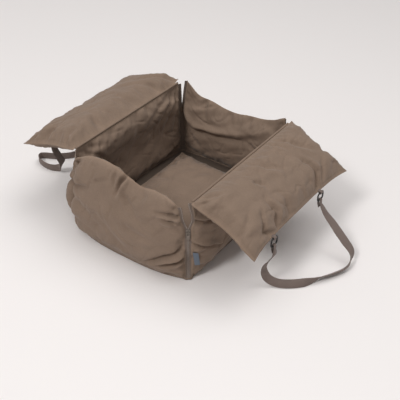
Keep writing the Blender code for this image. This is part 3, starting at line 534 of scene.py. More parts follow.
@dataclass
class Corner:
    """Where one corner zip stands: its place at the rim and its flare at the foot."""

    name: str
    sign_x: int
    sign_y: int

    @property
    def outward(self):
        """Away from the seat across the corner."""
        return Vector((self.sign_x, self.sign_y, 0)).normalized()

    @property
    def to_side(self):
        """From the zip's middle line towards the side wall."""
        return Vector((self.sign_x, -self.sign_y, 0)).normalized()

    @property
    def line(self):
        """The zip's direction, from the joint that its slider runs on."""
        return Vector(JOINTS[self.name + "_zip_slide"]["axis"])

    def at(self, height):
        """The zip's middle line at a height above the floor."""
        rim = Vector((self.sign_x * CORNER_X, self.sign_y * CORNER_Y, RIM_HEIGHT))
        return rim + self.line * (height - RIM_HEIGHT) / self.line.z


FRONT_LEFT = Corner("front_left", -1, -1)
FRONT_RIGHT = Corner("front_right", 1, -1)
BACK_LEFT = Corner("back_left", -1, 1)
BACK_RIGHT = Corner("back_right", 1, 1)
CORNERS = (FRONT_LEFT, FRONT_RIGHT, BACK_LEFT, BACK_RIGHT)


@dataclass
class Crease:
    """A fold in a cover's face along a few places given in shares.

    side is 1 on the outer or upper face and -1 on the other.  A negative depth
    is a ridge.  lip is how high the cloth stands beside the fold, as a share.
    """

    side: int
    path: tuple
    depth: float
    width: float
    lip: float = 0.35


# How far the near zip's tapes sway apart halfway up its open part
OPEN_WAVES = {("front", 1): 0.005, ("right", -1): 0.010}
WAVE_LEAN = 0.8

# How far from its seams a wall's face is still rising: at the ends and the foot, and at
# the rim, where the outer faces of the end walls and of the side walls differ
OUTER_REACHES = (0.015, 0.017)
LINING_REACHES = (0.026, 0.022, 0.020)
END_RIM_REACH = 0.020
SIDE_RIM_REACH = 0.052

# How sharply a side wall leans under its hinge, and any wall's faces turn at the corners
HINGE_PULL_POWER = 3
END_TURN_POWER = 5


@dataclass
class Wall:
    """One quilted wall: the corners it joins, how it bows and where its ends part.

    bows are how far it stands out at the foot, halfway up and at the rim, and spreads
    how far each end stands off its zip at the rim.  A higher bow_power keeps the bow
    even nearly to the corners; a higher spread_local parts only the wall's last stretch.
    """

    name: str
    outward: Vector
    along: Vector
    corners: tuple
    bows: tuple
    bow_power: float
    lining_half: float
    outer_half: float
    rim_reach: float
    rim: object
    spreads: tuple
    spread_local: int
    creases: list = field(default_factory=list)

    @property
    def half_length(self):
        """Half of the wall's length along its rim."""
        first, second = (self.edge(end, RIM_HEIGHT) for end in (-1, 1))
        return (second - first).dot(self.along) / 2

    @property
    def half_width(self):
        """Half of the wall's height."""
        return RIM_HEIGHT / 2

    def corner(self, end):
        """The corner at the wall's first (-1) or second (1) end."""
        return self.corners[0 if end < 0 else 1]

    def away(self, end):
        """From a corner's zip towards this wall."""
        corner = self.corner(end)
        return corner.to_side if abs(self.along.y) > abs(self.along.x) else -corner.to_side

    def edge(self, end, height):
        """The cover's edge at one end with its zip closed."""
        return self.corner(end).at(height) + self.away(end) * COVER_EDGE

    def height(self, u, v):
        """Height above the floor; v runs from -1 at the foot to 1 at the rim."""
        return WALL_FOOT + (self.rim(u) - WALL_FOOT) * (v + 1) / 2

    def spread(self, end, height):
        """How far one end stands off its zip's middle line at a height."""
        top = self.rim(end)
        part = max(height - ZIP_OPEN_HEIGHT, 0) / (top - ZIP_OPEN_HEIGHT)
        sway = math.sin(math.pi * min(part, 1) ** WAVE_LEAN) ** 2
        wave = OPEN_WAVES.get((self.name, end), 0) * sway
        return self.spreads[0 if end < 0 else 1] * part ** SPREAD_POWER + wave

    def middle(self, u, v):
        """A point of the wall's middle surface."""
        height = self.height(u, v)
        share = (u + 1) / 2
        place = self.edge(-1, height).lerp(self.edge(1, height), share)
        place += self.away(-1) * self.spread(-1, height) * (1 - share) ** self.spread_local
        place += self.away(1) * self.spread(1, height) * share ** self.spread_local
        rise = (v + 1) / 2
        foot_bow, middle_bow, rim_bow = self.bows
        bow = foot_bow * (1 - rise) ** 2 + rim_bow * rise ** 2 + middle_bow * math.sin(math.pi * rise) ** 2
        turn = CORNER_TURN * (1 - abs(u) ** CORNER_POWER)
        place += self.outward * (bow * (1 - abs(u) ** self.bow_power) - turn)
        if self.name in ("left", "right"):
            hinge_gap = RIM_WIDTH / 2 - place.dot(self.outward)
            place += self.outward * hinge_gap * rise ** HINGE_PULL_POWER
        return place

    def normal(self, u, v):
        """Across the wall, turning to face its corners at both ends."""
        return (self.outward + self.along * u ** END_TURN_POWER).normalized()

    def half_at(self, u, v, full, reaches):
        """From the middle surface to one face, which rises from all four seams."""
        height = self.rim(u) - WALL_FOOT
        end_reach, foot_reach, rim_reach = reaches
        ends = swell((1 - abs(u)) * self.half_length, end_reach)
        foot = swell((v + 1) / 2 * height, foot_reach)
        rim = swell((1 - v) / 2 * height, rim_reach)
        return EDGE_HALF + (full - EDGE_HALF) * ends * foot * rim

    def over(self, u, v):
        """From the middle surface to the outer face."""
        return self.half_at(u, v, self.outer_half, (*OUTER_REACHES, self.rim_reach))

    def under(self, u, v):
        """From the middle surface to the inner face."""
        return self.half_at(u, v, self.lining_half, LINING_REACHES)


# Heights of the end walls' rims at even steps, as shares of the rim's height
FRONT_RIM = (0.965, 1.045, 1.070, 1.060, 1.005, 0.955, 0.985, 0.990, 0.945)
BACK_RIM = (1.020, 0.865, 0.828, 0.785, 0.778, 0.812, 0.838, 0.900, 1.000)
SIDE_RIM = RIM_HEIGHT - HINGE_SEAT
SIDE_RIM_DROP = 0.0015
SIDE_RIM_POWER = 8


def front_rim(u):
    """Height of the front wall's rim, which sags beside the open zip."""
    return RIM_HEIGHT * smooth_steps(FRONT_RIM, (u + 1) / 2)


def back_rim(u):
    """Height of the back wall's rim."""
    return RIM_HEIGHT * smooth_steps(BACK_RIM, (u + 1) / 2)


def side_rim(u):
    """Height of a side wall's rim, straight under the flap's seam."""
    return SIDE_RIM - SIDE_RIM_DROP * u ** SIDE_RIM_POWER


FRONT_CREASES = [
    # The belly is fullest low beside the left zip
    Crease(1, ((-0.90, -0.30), (-0.88, 0.30)), -0.005, 0.034, 0.0),
    Crease(1, ((-0.90, -0.30), (-0.88, -0.90)), -0.005, 0.034, 0.0),
    # The deep gather that hangs from the rim, and its shallower neighbour
    Crease(1, ((-0.02, 1.00), (-0.05, 0.83), (-0.10, 0.50)), 0.017, 0.0065, 0.8),
    Crease(1, ((-0.18, 0.92), (-0.14, 0.62)), 0.008, 0.0065, 0.6),
    # Tucks at the left corner and the angular crease below it
    Crease(1, ((-1.00, 0.80), (-0.80, 0.95)), 0.010, 0.007, 0.7),
    Crease(1, ((-1.00, 0.36), (-0.80, 0.30), (-0.50, 0.42)), 0.008, 0.007, 0.6),
    Crease(1, ((-0.45, 0.60), (-0.20, 0.78)), 0.004, 0.007),
    # Crisp creases that run out of the zip seam
    Crease(1, ((1.00, 0.78), (0.78, 0.68), (0.55, 0.60)), 0.011, 0.005, 0.9),
    Crease(1, ((0.86, 0.58), (0.66, 0.52)), 0.007, 0.005, 0.8),
    Crease(1, ((0.95, 0.98), (0.84, 0.78)), 0.007, 0.006, 0.6),
    # The long diagonal folds towards the foot
    Crease(1, ((1.00, -0.02), (0.90, -0.22), (0.72, -0.40), (0.36, -0.84)), 0.015, 0.006, 0.9),
    Crease(1, ((0.95, -0.35), (0.78, -0.55), (0.60, -0.66)), 0.010, 0.0055, 0.8),
    # Soft drags across the belly
    Crease(1, ((0.10, 0.66), (0.30, 0.36), (0.62, 0.26)), 0.005, 0.012),
    Crease(1, ((0.16, 0.06), (0.45, -0.02), (0.76, -0.12)), 0.004, 0.012),
    Crease(1, ((-0.95, 0.05), (-0.60, -0.15), (-0.20, -0.45)), 0.005, 0.014),
    Crease(1, ((-0.40, -0.10), (-0.10, -0.35), (0.20, -0.70)), 0.004, 0.014),
    Crease(-1, ((-0.30, 0.95), (-0.25, 0.10)), 0.006, 0.012),
    Crease(-1, ((0.40, 0.95), (0.30, -0.10)), 0.006, 0.012),
]
RIGHT_CREASES = [
    # The wall's first end is the near corner
    Crease(1, ((-1.00, 0.02), (-0.85, -0.12), (-0.60, -0.40)), 0.015, 0.0055, 0.9),
    Crease(1, ((-1.00, 0.58), (-0.72, 0.36), (-0.45, 0.22)), 0.009, 0.0055, 0.8),
    Crease(1, ((-0.62, -0.42), (-0.45, -0.10), (-0.35, 0.20)), 0.009, 0.009),
    Crease(1, ((-0.95, -0.60), (-0.70, -0.85)), 0.006, 0.009),
    Crease(1, ((0.98, 0.10), (0.55, 0.00)), 0.009, 0.010),
    Crease(1, ((0.98, -0.45), (0.50, -0.60)), 0.008, 0.010),
    Crease(-1, ((-0.60, 0.90), (-0.40, 0.00)), 0.006, 0.012),
    Crease(-1, ((0.50, 0.90), (0.35, -0.10)), 0.006, 0.012),
]
LEFT_CREASES = [
    # Outside, the cloth is fullest beside the front zip
    Crease(1, ((-0.86, -0.40), (-0.84, 0.20)), -0.008, 0.038, 0.0),
    Crease(1, ((-0.86, -0.40), (-0.84, -0.95)), -0.008, 0.038, 0.0),
    # On the inner face folds fan out from the far upper corner
    Crease(-1, ((0.96, 0.96), (0.78, 0.40), (0.60, -0.30)), 0.008, 0.008, 0.5),
    Crease(-1, ((0.92, 0.98), (0.62, 0.55), (0.45, 0.00)), 0.007, 0.009, 0.5),
    Crease(-1, ((0.86, 0.98), (0.45, 0.75), (0.20, 0.45)), 0.006, 0.010),
    Crease(-1, ((0.98, 0.80), (0.90, 0.10), (0.80, -0.50)), 0.008, 0.009),
    Crease(-1, ((-0.96, 0.92), (-0.70, 0.62), (-0.43, 0.13)), 0.004, 0.009, 0.4),
    Crease(-1, ((-0.90, 0.96), (-0.55, 0.78), (-0.30, 0.62)), 0.003, 0.009),
    Crease(-1, ((0.05, 0.96), (0.05, 0.30)), 0.004, 0.014),
    Crease(1, ((-0.98, 0.10), (-0.50, -0.10)), 0.012, 0.010, 0.5),
    Crease(1, ((0.98, 0.05), (0.50, 0.15)), 0.010, 0.010),
    Crease(1, ((-0.20, -0.90), (0.10, -0.20)), 0.006, 0.014),
]
BACK_CREASES = [
    # The slumped band along the rim ends in a soft ridge
    Crease(-1, ((-0.93, 0.30), (-0.75, 0.12), (-0.45, 0.20), (-0.15, 0.34), (0.15, 0.46),
                (0.43, 0.62), (0.70, 0.85)), -0.011, 0.016, 0.0),
    Crease(-1, ((-0.75, -0.02), (-0.20, 0.14), (0.30, 0.30), (0.60, 0.50)), 0.008, 0.014, 0.0),
    Crease(-1, ((-0.60, 0.95), (-0.55, 0.45)), 0.006, 0.009),
    Crease(-1, ((-0.10, 0.98), (-0.05, 0.60)), 0.005, 0.009),
    Crease(-1, ((0.30, 0.98), (0.20, 0.65)), 0.005, 0.009),
    Crease(-1, ((-0.95, -0.10), (-0.60, -0.55)), 0.007, 0.010),
    Crease(-1, ((0.40, 0.20), (0.75, -0.20)), 0.006, 0.010),
    Crease(1, ((-0.98, 0.20), (-0.55, 0.05)), 0.010, 0.010, 0.5),
    Crease(1, ((0.98, 0.20), (0.50, 0.10)), 0.010, 0.010, 0.5),
]


def make_walls():
    """The four walls between their corners."""
    left, right, front, back = (Vector(d) for d in ((-1, 0, 0), (1, 0, 0), (0, -1, 0), (0, 1, 0)))
    given = sizes()
    return {
        "front": Wall("front", front, right, (FRONT_LEFT, FRONT_RIGHT),
                      bows=(0.030, 0.022, 0.0), bow_power=3,
                      lining_half=given.end_lining, outer_half=given.front_outer,
                      rim_reach=END_RIM_REACH, rim=front_rim,
                      spreads=(0.011, 0.018), spread_local=3, creases=FRONT_CREASES),
        "back": Wall("back", back, right, (BACK_LEFT, BACK_RIGHT),
                     bows=(0.012, 0.0, 0.030), bow_power=3,
                     lining_half=given.end_lining, outer_half=given.back_outer,
                     rim_reach=END_RIM_REACH, rim=back_rim,
                     spreads=(0.011, 0.011), spread_local=3, creases=BACK_CREASES),
        "left": Wall("left", left, back, (FRONT_LEFT, BACK_LEFT),
                     bows=(0.014, 0.030, 0.0), bow_power=5,
                     lining_half=given.side_lining, outer_half=given.left_outer,
                     rim_reach=SIDE_RIM_REACH, rim=side_rim,
                     spreads=(0.002, 0.002), spread_local=12, creases=LEFT_CREASES),
        "right": Wall("right", right, back, (FRONT_RIGHT, BACK_RIGHT),
                      bows=(0.0, 0.020, 0.0), bow_power=5,
                      lining_half=given.side_lining, outer_half=given.right_outer,
                      rim_reach=SIDE_RIM_REACH, rim=side_rim,
                      spreads=(0.002, 0.002), spread_local=12, creases=RIGHT_CREASES),
    }


# Flaps and cushion

# How far the seam stands up at each flap's back hinge corner, and how soon that fades
FLAP_EAR = 0.009
EAR_END_POWER = 14
EAR_HINGE_POWER = 5

# How far the filling draws a flap's ends in, and where its faces are still rising
FLAP_END_DRAW = 0.012
FLAP_END_REACH = 0.018
FLAP_OUTER_REACH = 0.030
FLAP_TOP_HINGE_REACH = 0.018
FLAP_UNDER_HINGE_REACH = 0.066


@dataclass
class Flap:
    """One flap in its own frame: +X outwards from its hinge and +Y along the seam."""

    side: str
    creases: list
    half_length: float = RIM_LENGTH / 2
    half_width: float = FLAP_REACH / 2

    @property
    def frame(self):
        """From the flap's own frame to the seat's."""
        turned = self.side == "left"
        hinge = Vector(JOINTS[self.side + "_flap_fold"]["pos_m"])
        turn = Euler((0, FLAP_TILTS[self.side], math.pi if turned else 0)).to_matrix().to_4x4()
        return Matrix.Translation(hinge) @ turn

    def middle(self, u, v):
        """A point of the flap's middle surface in the seat's frame."""
        reach = (v + 1) / 2
        drawn_in = FLAP_OUTER_DRAW * reach ** 2 * (1 - u ** 4)
        x = HINGE_SEAT + (FLAP_REACH - HINGE_SEAT) * reach - drawn_in
        y = u * (RIM_LENGTH / 2 - FLAP_END_DRAW * math.sin(math.pi * reach) ** 2)
        towards_back = max(-u if self.side == "left" else u, 0)
        ear = FLAP_EAR * towards_back ** EAR_END_POWER * (1 - reach) ** EAR_HINGE_POWER
        return self.frame @ Vector((x, y, ear))

    def normal(self, u, v):
        """Up from the flap's middle surface."""
        return self.frame.to_3x3() @ UP

    def half_at(self, full, hinge_reach, u, v):
        """Half of the flap's thickness on one face."""
        reach = (v + 1) / 2
        ends = swell((1 - abs(u)) * self.half_length, FLAP_END_REACH)
        outer = swell((1 - reach) * FLAP_REACH, FLAP_OUTER_REACH)
        hinge = swell(reach * FLAP_REACH, hinge_reach)
        return EDGE_HALF + (full - EDGE_HALF) * ends * outer * hinge

    def over(self, u, v):
        """From the middle surface to the upper face."""
        return self.half_at(sizes().flap_top, FLAP_TOP_HINGE_REACH, u, v)

    def under(self, u, v):
        """From the middle surface to the lower face."""
        return self.half_at(sizes().flap_under, FLAP_UNDER_HINGE_REACH, u, v)


RIGHT_FLAP_CREASES = [
    # Out of the near ring
    Crease(1, ((-0.52, 1.00), (-0.68, 0.84), (-0.62, 0.50), (-0.52, 0.25)), 0.010, 0.007, 0.3),
    Crease(1, ((-0.45, 0.98), (-0.38, 0.66), (-0.42, 0.27), (-0.36, 0.05)), 0.010, 0.008, 0.5),
    Crease(1, ((-0.20, 0.98), (-0.16, 0.55), (-0.20, 0.20)), 0.006, 0.010),
    # Out of the far ring
    Crease(1, ((0.40, 1.00), (0.50, 0.60), (0.50, 0.30), (0.42, -0.15)), 0.011, 0.008, 0.5),
    Crease(1, ((0.46, 0.98), (0.62, 0.60), (0.72, 0.30)), 0.007, 0.009),
    # From the hinge and the far end
    Crease(1, ((0.50, -0.85), (0.58, -0.40), (0.72, 0.00), (0.86, 0.20)), 0.007, 0.010, 0.5),
    Crease(1, ((0.38, -0.80), (0.44, -0.30)), 0.006, 0.009),
    Crease(1, ((-0.10, -0.80), (0.00, -0.40), (0.10, -0.15), (0.30, 0.00)), 0.006, 0.011, 0.5),
    Crease(1, ((-0.32, -0.30), (-0.26, -0.10), (-0.30, 0.12)), 0.006, 0.009, 0.5),
    Crease(1, ((-0.88, -0.96), (-0.80, -0.70), (-0.66, -0.55)), 0.007, 0.008, 0.5),
    Crease(1, ((-0.96, -0.80), (-0.82, -0.62)), 0.006, 0.007, 0.5),
    Crease(1, ((-0.98, 0.40), (-0.80, 0.30), (-0.66, 0.10)), 0.005, 0.010),
    Crease(1, ((0.98, 0.10), (0.80, 0.30)), 0.006, 0.009),
    Crease(-1, ((-0.50, 0.98), (-0.40, 0.00)), 0.009, 0.012),
    Crease(-1, ((0.40, 0.98), (0.45, 0.00)), 0.009, 0.012),
]
LEFT_FLAP_CREASES = [
    # The flap is turned about, so its first end is at the back
    Crease(1, ((0.98, 0.70), (0.84, 0.45), (0.66, 0.10)), 0.009, 0.010, 0.5),
    Crease(1, ((0.98, 0.20), (0.80, -0.10)), 0.008, 0.009),
    Crease(1, ((0.96, -0.70), (0.77, -0.70), (0.62, -0.50)), 0.007, 0.008, 0.5),
    Crease(1, ((0.50, -0.95), (0.40, -0.60), (0.36, -0.10)), 0.005, 0.010),
    Crease(1, ((-0.15, -0.95), (-0.12, -0.50), (-0.20, 0.00)), 0.005, 0.011),
    Crease(1, ((-0.60, -0.90), (-0.50, -0.40), (-0.35, 0.10)), 0.006, 0.011, 0.5),
    Crease(1, ((-0.92, -0.90), (-0.72, -0.40), (-0.60, 0.00)), 0.007, 0.010, 0.5),
    Crease(1, ((0.10, 0.98), (0.15, 0.40)), 0.006, 0.011),
    Crease(1, ((-0.45, 0.98), (-0.40, 0.45)), 0.007, 0.011),
    Crease(1, ((0.55, 0.98), (0.50, 0.45)), 0.008, 0.011),
    Crease(-1, ((-0.40, 0.98), (-0.30, 0.00)), 0.009, 0.012),
    Crease(-1, ((0.55, 0.98), (0.45, 0.00)), 0.009, 0.012),
]


def make_flaps():
    """Both flaps."""
    return {"left": Flap("left", LEFT_FLAP_CREASES), "right": Flap("right", RIGHT_FLAP_CREASES)}


# From the walls' middles to the cushion's seam, how far its sides draw in, and its rise
CUSHION_GAP = 0.028
CUSHION_DRAW = 0.012
CUSHION_REACH = 0.030


@dataclass
class Cushion:
    """The loose cushion on the board, crowned with drawn-in sides."""

    half_length: float = RIM_LENGTH / 2 - CUSHION_GAP
    half_width: float = RIM_WIDTH / 2 - CUSHION_GAP
    creases: list = field(default_factory=lambda: [
        Crease(1, ((-0.90, -0.90), (-0.60, -0.55)), 0.005, 0.012),
        Crease(1, ((0.90, 0.88), (0.55, 0.60)), 0.005, 0.012),
        Crease(1, ((-0.92, 0.86), (-0.55, 0.50)), 0.005, 0.012),
        Crease(1, ((0.90, -0.90), (0.60, -0.60)), 0.005, 0.012),
        Crease(1, ((-0.30, 0.98), (-0.20, 0.40)), 0.004, 0.014),
        Crease(1, ((0.25, -0.98), (0.15, -0.35)), 0.004, 0.014),
    ])

    def middle(self, u, v):
        """A point of the cushion's seam plane."""
        x = v * (self.half_width - CUSHION_DRAW * (1 - u ** 4))
        y = u * (self.half_length - CUSHION_DRAW * (1 - v ** 4))
        return Vector((x, y, CUSHION_REST))

    def normal(self, u, v):
        """Up from the seam plane."""
        return UP

    def half_at(self, full, u, v):
        """Half of the cushion's thickness on one face."""
        sides = swell((1 - abs(u)) * self.half_length, CUSHION_REACH)
        ends = swell((1 - abs(v)) * self.half_width, CUSHION_REACH)
        return EDGE_HALF + (full - EDGE_HALF) * sides * ends

    def over(self, u, v):
        """Height of the top."""
        return self.half_at(sizes().cushion_top, u, v)

    def under(self, u, v):
        """Depth of the underside."""
        return self.half_at(sizes().cushion_under, u, v)


# Stuffed covers

CLOTH_QUALITY = 6
CLOTH_BENDING = 0.25
# A cover may stand its full measure off a solid that is at least this deep there
PROUD_DEPTH = 0.02

# The lip of cloth beside a crease: its place and spread in widths of the crease
LIP_PLACE = 1.7
LIP_SPREAD = 1.2

# Small wrinkles: the pitch, stretch and direction of each field of ripples
RIPPLE_FIELDS = {
    "swells": (0.052, 1.8, 0.5),
    "folds": (0.070, 2.6, -0.3),
    "cross_folds": (0.060, 2.2, 1.1),
    "places": (0.110, 1.0, 0.0),
    "end_gathers": (0.017, 3.5, 0.0),
    "side_gathers": (0.017, 3.5, math.pi / 2),
}
RIPPLE_WAVES = 16
RIPPLE_RATES = (0.7, 1.4)
RIPPLE_SEED = 50
FOLD_SHARPNESS = 0.24
GATHER_REACH = 0.030
SWELL_SHARE = 0.40
FOLD_SHARE = 1.30
GATHER_SHARE = 0.50

# How far from a seam the relief fades in and the rubbed cloth fades out
RELIEF_REACH = 0.008
RUB_REACH = 0.0035
RUB_STRENGTH = 0.75

# The edges of a cover: which of its two shares is fixed along each, and at what value
TRACKS = {"first": (0, -1), "second": (0, 1), "low": (1, -1), "high": (1, 1)}
STITCH_STEPS = 120
STITCH_LIFT = 0.0003


def sewn_cover(name, shape):
    """Two faces of cloth that meet in the seam round a wall, flap or cushion."""
    columns = round(2 * shape.half_length / sizes().cell)
    rows = round(2 * shape.half_width / sizes().cell)
    points = []
    shares = []
    faces = []
    index = {}
    for side in (1, -1):
        for j in range(rows + 1):
            for i in range(columns + 1):
                on_seam = i in (0, columns) or j in (0, rows)
                if on_seam and side < 0:
                    index[side, i, j] = index[1, i, j]
                    continue
                u = 2 * i / columns - 1
                v = 2 * j / rows - 1
                half = shape.over(u, v) if side > 0 else shape.under(u, v)
                standing = 0 if on_seam else side * half
                index[side, i, j] = len(points)
                points.append(shape.middle(u, v) + shape.normal(u, v) * standing)
                shares.append((u, v, 0 if on_seam else side))
        for j in range(rows):
            for i in range(columns):
                face = [index[side, i, j], index[side, i + 1, j],
                        index[side, i + 1, j + 1], index[side, i, j + 1]]
                faces.append(tuple(face if side > 0 else face[::-1]))
    cover = new_piece(name, points, faces, "canvas")
    store_shares(cover, shape, shares)
    return cover


def store_shares(cover, shape, shares):
    """Keep each point's place on the cover, and lay the weave out in metres."""
    mesh = cover.data
    attribute = mesh.attributes.new("share", "FLOAT_VECTOR", "POINT")
    attribute.data.foreach_set("vector", [value for share in shares for value in share])
    cloth = mesh.uv_layers.new(name="cloth")
    for loop in mesh.loops:
        u, v, _ = shares[loop.vertex_index]
        cloth.data[loop.index].uv = (u * shape.half_length, v * shape.half_width)


def read_shares(mesh):
    """Places on the cover and their side, as arrays."""
    values = np.zeros(len(mesh.vertices) * 3)
    mesh.attributes["share"].data.foreach_get("vector", values)
    return values.reshape(-1, 3)


def read_points(mesh):
    """The mesh's points as an array."""
    values = np.zeros(len(mesh.vertices) * 3)
    mesh.vertices.foreach_get("co", values)
    return values.reshape(-1, 3)


def read_normals(mesh):
    """The normals at the mesh's points as an array."""
    values = np.zeros(len(mesh.vertices) * 3)
    mesh.vertex_normals.foreach_get("vector", values)
    return values.reshape(-1, 3)


def write_points(mesh, points):
    """Set the mesh's points from an array."""
    mesh.vertices.foreach_set("co", points.ravel())
    mesh.update()


def fill_out(cover, shape):
    """Let the filling press on the cloth between its seams, for a few frames."""
    settings = filling()
    start = read_points(cover.data)
    shares = read_shares(cover.data)
    seam = [int(i) for i in np.nonzero(shares[:, 2] == 0)[0]]
    cover.vertex_groups.new(name="seam").add(seam, 1, "REPLACE")
    cloth = cover.modifiers.new("filling", "CLOTH")
    cloth.settings.quality = CLOTH_QUALITY
    cloth.settings.bending_stiffness = CLOTH_BENDING
    cloth.settings.vertex_group_mass = "seam"
    cloth.settings.shrink_min = -settings.slack
    cloth.settings.use_pressure = True
    cloth.settings.uniform_pressure_force = settings.pressure
    cloth.settings.effector_weights.gravity = 0
    cloth.collision_settings.use_collision = False
    cloth.point_cache.frame_start = 1
    cloth.point_cache.frame_end = settings.frames
    scene = bpy.context.scene
    for step in range(1, settings.frames + 1):
        scene.frame_set(step)
    depsgraph = bpy.context.evaluated_depsgraph_get()
    moved = read_points(cover.evaluated_get(depsgraph).data)
    cover.modifiers.remove(cloth)
    scene.frame_set(1)
    shift = moved - start
    distance = np.linalg.norm(shift, axis=1, keepdims=True)
    shift *= np.minimum(1, settings.cap / np.maximum(distance, 1e-9))
    write_points(cover.data, hold_inside(start + shift, shares, shape))


def hold_inside(points, shares, shape):
    """Keep a cover from standing further off its solid than it may."""
    proud = filling().proud
    for index, (u, v, side) in enumerate(shares):
        if side == 0:
            continue
        middle = shape.middle(u, v)
        normal = shape.normal(u, v)
        half = shape.over(u, v) if side > 0 else shape.under(u, v)
        standing = (Vector(points[index]) - middle).dot(normal) * side
        excess = standing - (half + proud * min(half / PROUD_DEPTH, 1))
        if excess > 0:
            points[index] -= np.array(normal * excess * side)
    return points


def crease_relief(shape, shares):
    """How far the creases move each point along its normal."""
    scale = np.array((shape.half_length, shape.half_width))
    places = shares[:, :2] * scale
    relief = np.zeros(len(places))
    for crease in shape.creases:
        path = np.array(crease.path) * scale
        total = np.linalg.norm(np.diff(path, axis=0), axis=1).sum()
        nearest = np.full(len(places), np.inf)
        signed = np.zeros(len(places))
        passed = np.zeros(len(places))
        run = 0.0
        for start, end in zip(path, path[1:]):
            line = end - start
            length = np.linalg.norm(line)
            along = line / length
            offset = places - start
            part = np.clip(offset @ along, 0, length)
            gap = offset - np.outer(part, along)
            distance = np.linalg.norm(gap, axis=1)
            across = offset[:, 1] * along[0] - offset[:, 0] * along[1]
            closer = distance < nearest
            nearest = np.where(closer, distance, nearest)
            signed = np.where(closer, np.sign(across) * distance, signed)
            passed = np.where(closer, (run + part) / total, passed)
            run += length
        fade = 1 - passed ** 2
        valley = np.exp(-(nearest / crease.width) ** 2)
        beside = np.exp(-((signed - LIP_PLACE * crease.width) / (LIP_SPREAD * crease.width)) ** 2)
        on_side = np.clip(shares[:, 2] * crease.side, 0, 1)
        relief += crease.depth * fade * on_side * (crease.lip * beside - valley)
    return relief * filling().creases


def ripple_field(places, pitch, stretch, turn, seed):
    """Ripples about a pitch apart, drawn out along one direction, with a spread of about one.

    turn is the angle from the cover's length to the direction that they run in.
    """
    chance = np.random.default_rng(seed)
    along = places @ np.array((math.cos(turn), math.sin(turn))) / stretch
    across = places @ np.array((-math.sin(turn), math.cos(turn)))
    ripples = np.zeros(len(places))
    for _ in range(RIPPLE_WAVES):
        way = chance.uniform(0, 2 * math.pi)
        rate = 2 * math.pi / pitch * chance.uniform(*RIPPLE_RATES)
        phase = chance.uniform(0, 2 * math.pi)
        ripples += np.sin(rate * (along * math.cos(way) + across * math.sin(way)) + phase)
    return ripples * math.sqrt(2 / RIPPLE_WAVES)


def rumple_relief(shape, shares):
    """Small wrinkles on both faces: soft swells, sharp broken folds and gathers at the seams."""
    places = shares[:, :2] * np.array((shape.half_length, shape.half_width))
    by_end = np.exp(-(1 - np.abs(shares[:, 0])) * shape.half_length / GATHER_REACH)
    by_side = np.exp(-(1 - np.abs(shares[:, 1])) * shape.half_width / GATHER_REACH)
    relief = np.zeros(len(shares))
    for side in (1, -1):
        # The two faces of a cover differ, and so do covers with unlike numbers of creases
        seed = 100 * len(shape.creases) + 10 * side + RIPPLE_SEED
        made = {name: ripple_field(places, *values, seed + index)
                for index, (name, values) in enumerate(RIPPLE_FIELDS.items())}
        folds, cross_folds = (np.exp(-(made[name] / FOLD_SHARPNESS) ** 2)
                              for name in ("folds", "cross_folds"))
        sharp = folds * np.clip(made["places"], 0, 1) + cross_folds * np.clip(-made["places"], 0, 1)
        wrinkles = (SWELL_SHARE * made["swells"] - FOLD_SHARE * sharp
                    + GATHER_SHARE * by_end * made["end_gathers"]
                    + GATHER_SHARE * by_side * made["side_gathers"])
        relief += wrinkles * np.clip(shares[:, 2] * side, 0, 1)
    return relief * filling().rumple


def keep_seam_sharp(mesh):
    """Crease the edges of the seam, so that rounding leaves them where they are."""
    on_seam = read_shares(mesh)[:, 2] == 0
    crease = mesh.attributes.new("crease_edge", "FLOAT", "EDGE")
    crease.data.foreach_set("value", [float(all(on_seam[i] for i in edge.vertices)) for edge in mesh.edges])


def make_cover(name, shape):
    """Sew a cover, fill it, round it and press its creases and wrinkles in."""
    cover = sewn_cover(name, shape)
    fill_out(cover, shape)
    keep_seam_sharp(cover.data)
    rounding = cover.modifiers.new("rounding", "SUBSURF")
    rounding.levels = 1
    rounding.render_levels = 1
    apply_modifiers(cover)
    mesh = cover.data
    shares = read_shares(mesh)
    from_end = (1 - np.abs(shares[:, 0])) * shape.half_length
    from_side = (1 - np.abs(shares[:, 1])) * shape.half_width
    from_seam = np.minimum(from_end, from_side)
    fade = 1 - np.exp(-from_seam / RELIEF_REACH)
    relief = (crease_relief(shape, shares) + rumple_relief(shape, shares)) * fade
    write_points(mesh, read_points(mesh) + read_normals(mesh) * relief[:, None])
    rub = mesh.attributes.new("rub", "FLOAT", "POINT")
    rub.data.foreach_set("value", RUB_STRENGTH * np.exp(-from_seam / RUB_REACH))
    mesh.shade_smooth()
    return cover


def edge_points(cover, shape, track):
    """The seam's own points along one edge of the finished cover, in order."""
    axis, end = TRACKS[track]
    _, places, points, _ = cover_tree(cover, shape)
    edge = [i for i, place in enumerate(places) if abs(place[axis] - end) < 1e-5 and place[2] == 0]
    return [Vector(points[i]) for i in sorted(edge, key=lambda i: places[i][1 - axis])]


def stitch_line(cover, shape, side, track, inset):
    """Points just over one face of the finished cover, an inset in from one of its edges."""
    axis, end = TRACKS[track]
    tree, _, points, normals = cover_tree(cover, shape)
    reaches = (shape.half_length - inset, shape.half_width - inset)
    found = []
    for step in range(STITCH_STEPS + 1):
        run = 2 * step / STITCH_STEPS - 1
        target = [run * reach for reach in reaches]
        target[axis] = end * reaches[axis]
        _, index, _ = tree.find(Vector((*target, side)))
        if not found or found[-1] != index:
            found.append(index)
    return [Vector(points[i]) + Vector(normals[i]) * STITCH_LIFT for i in found]


cover_trees = {}


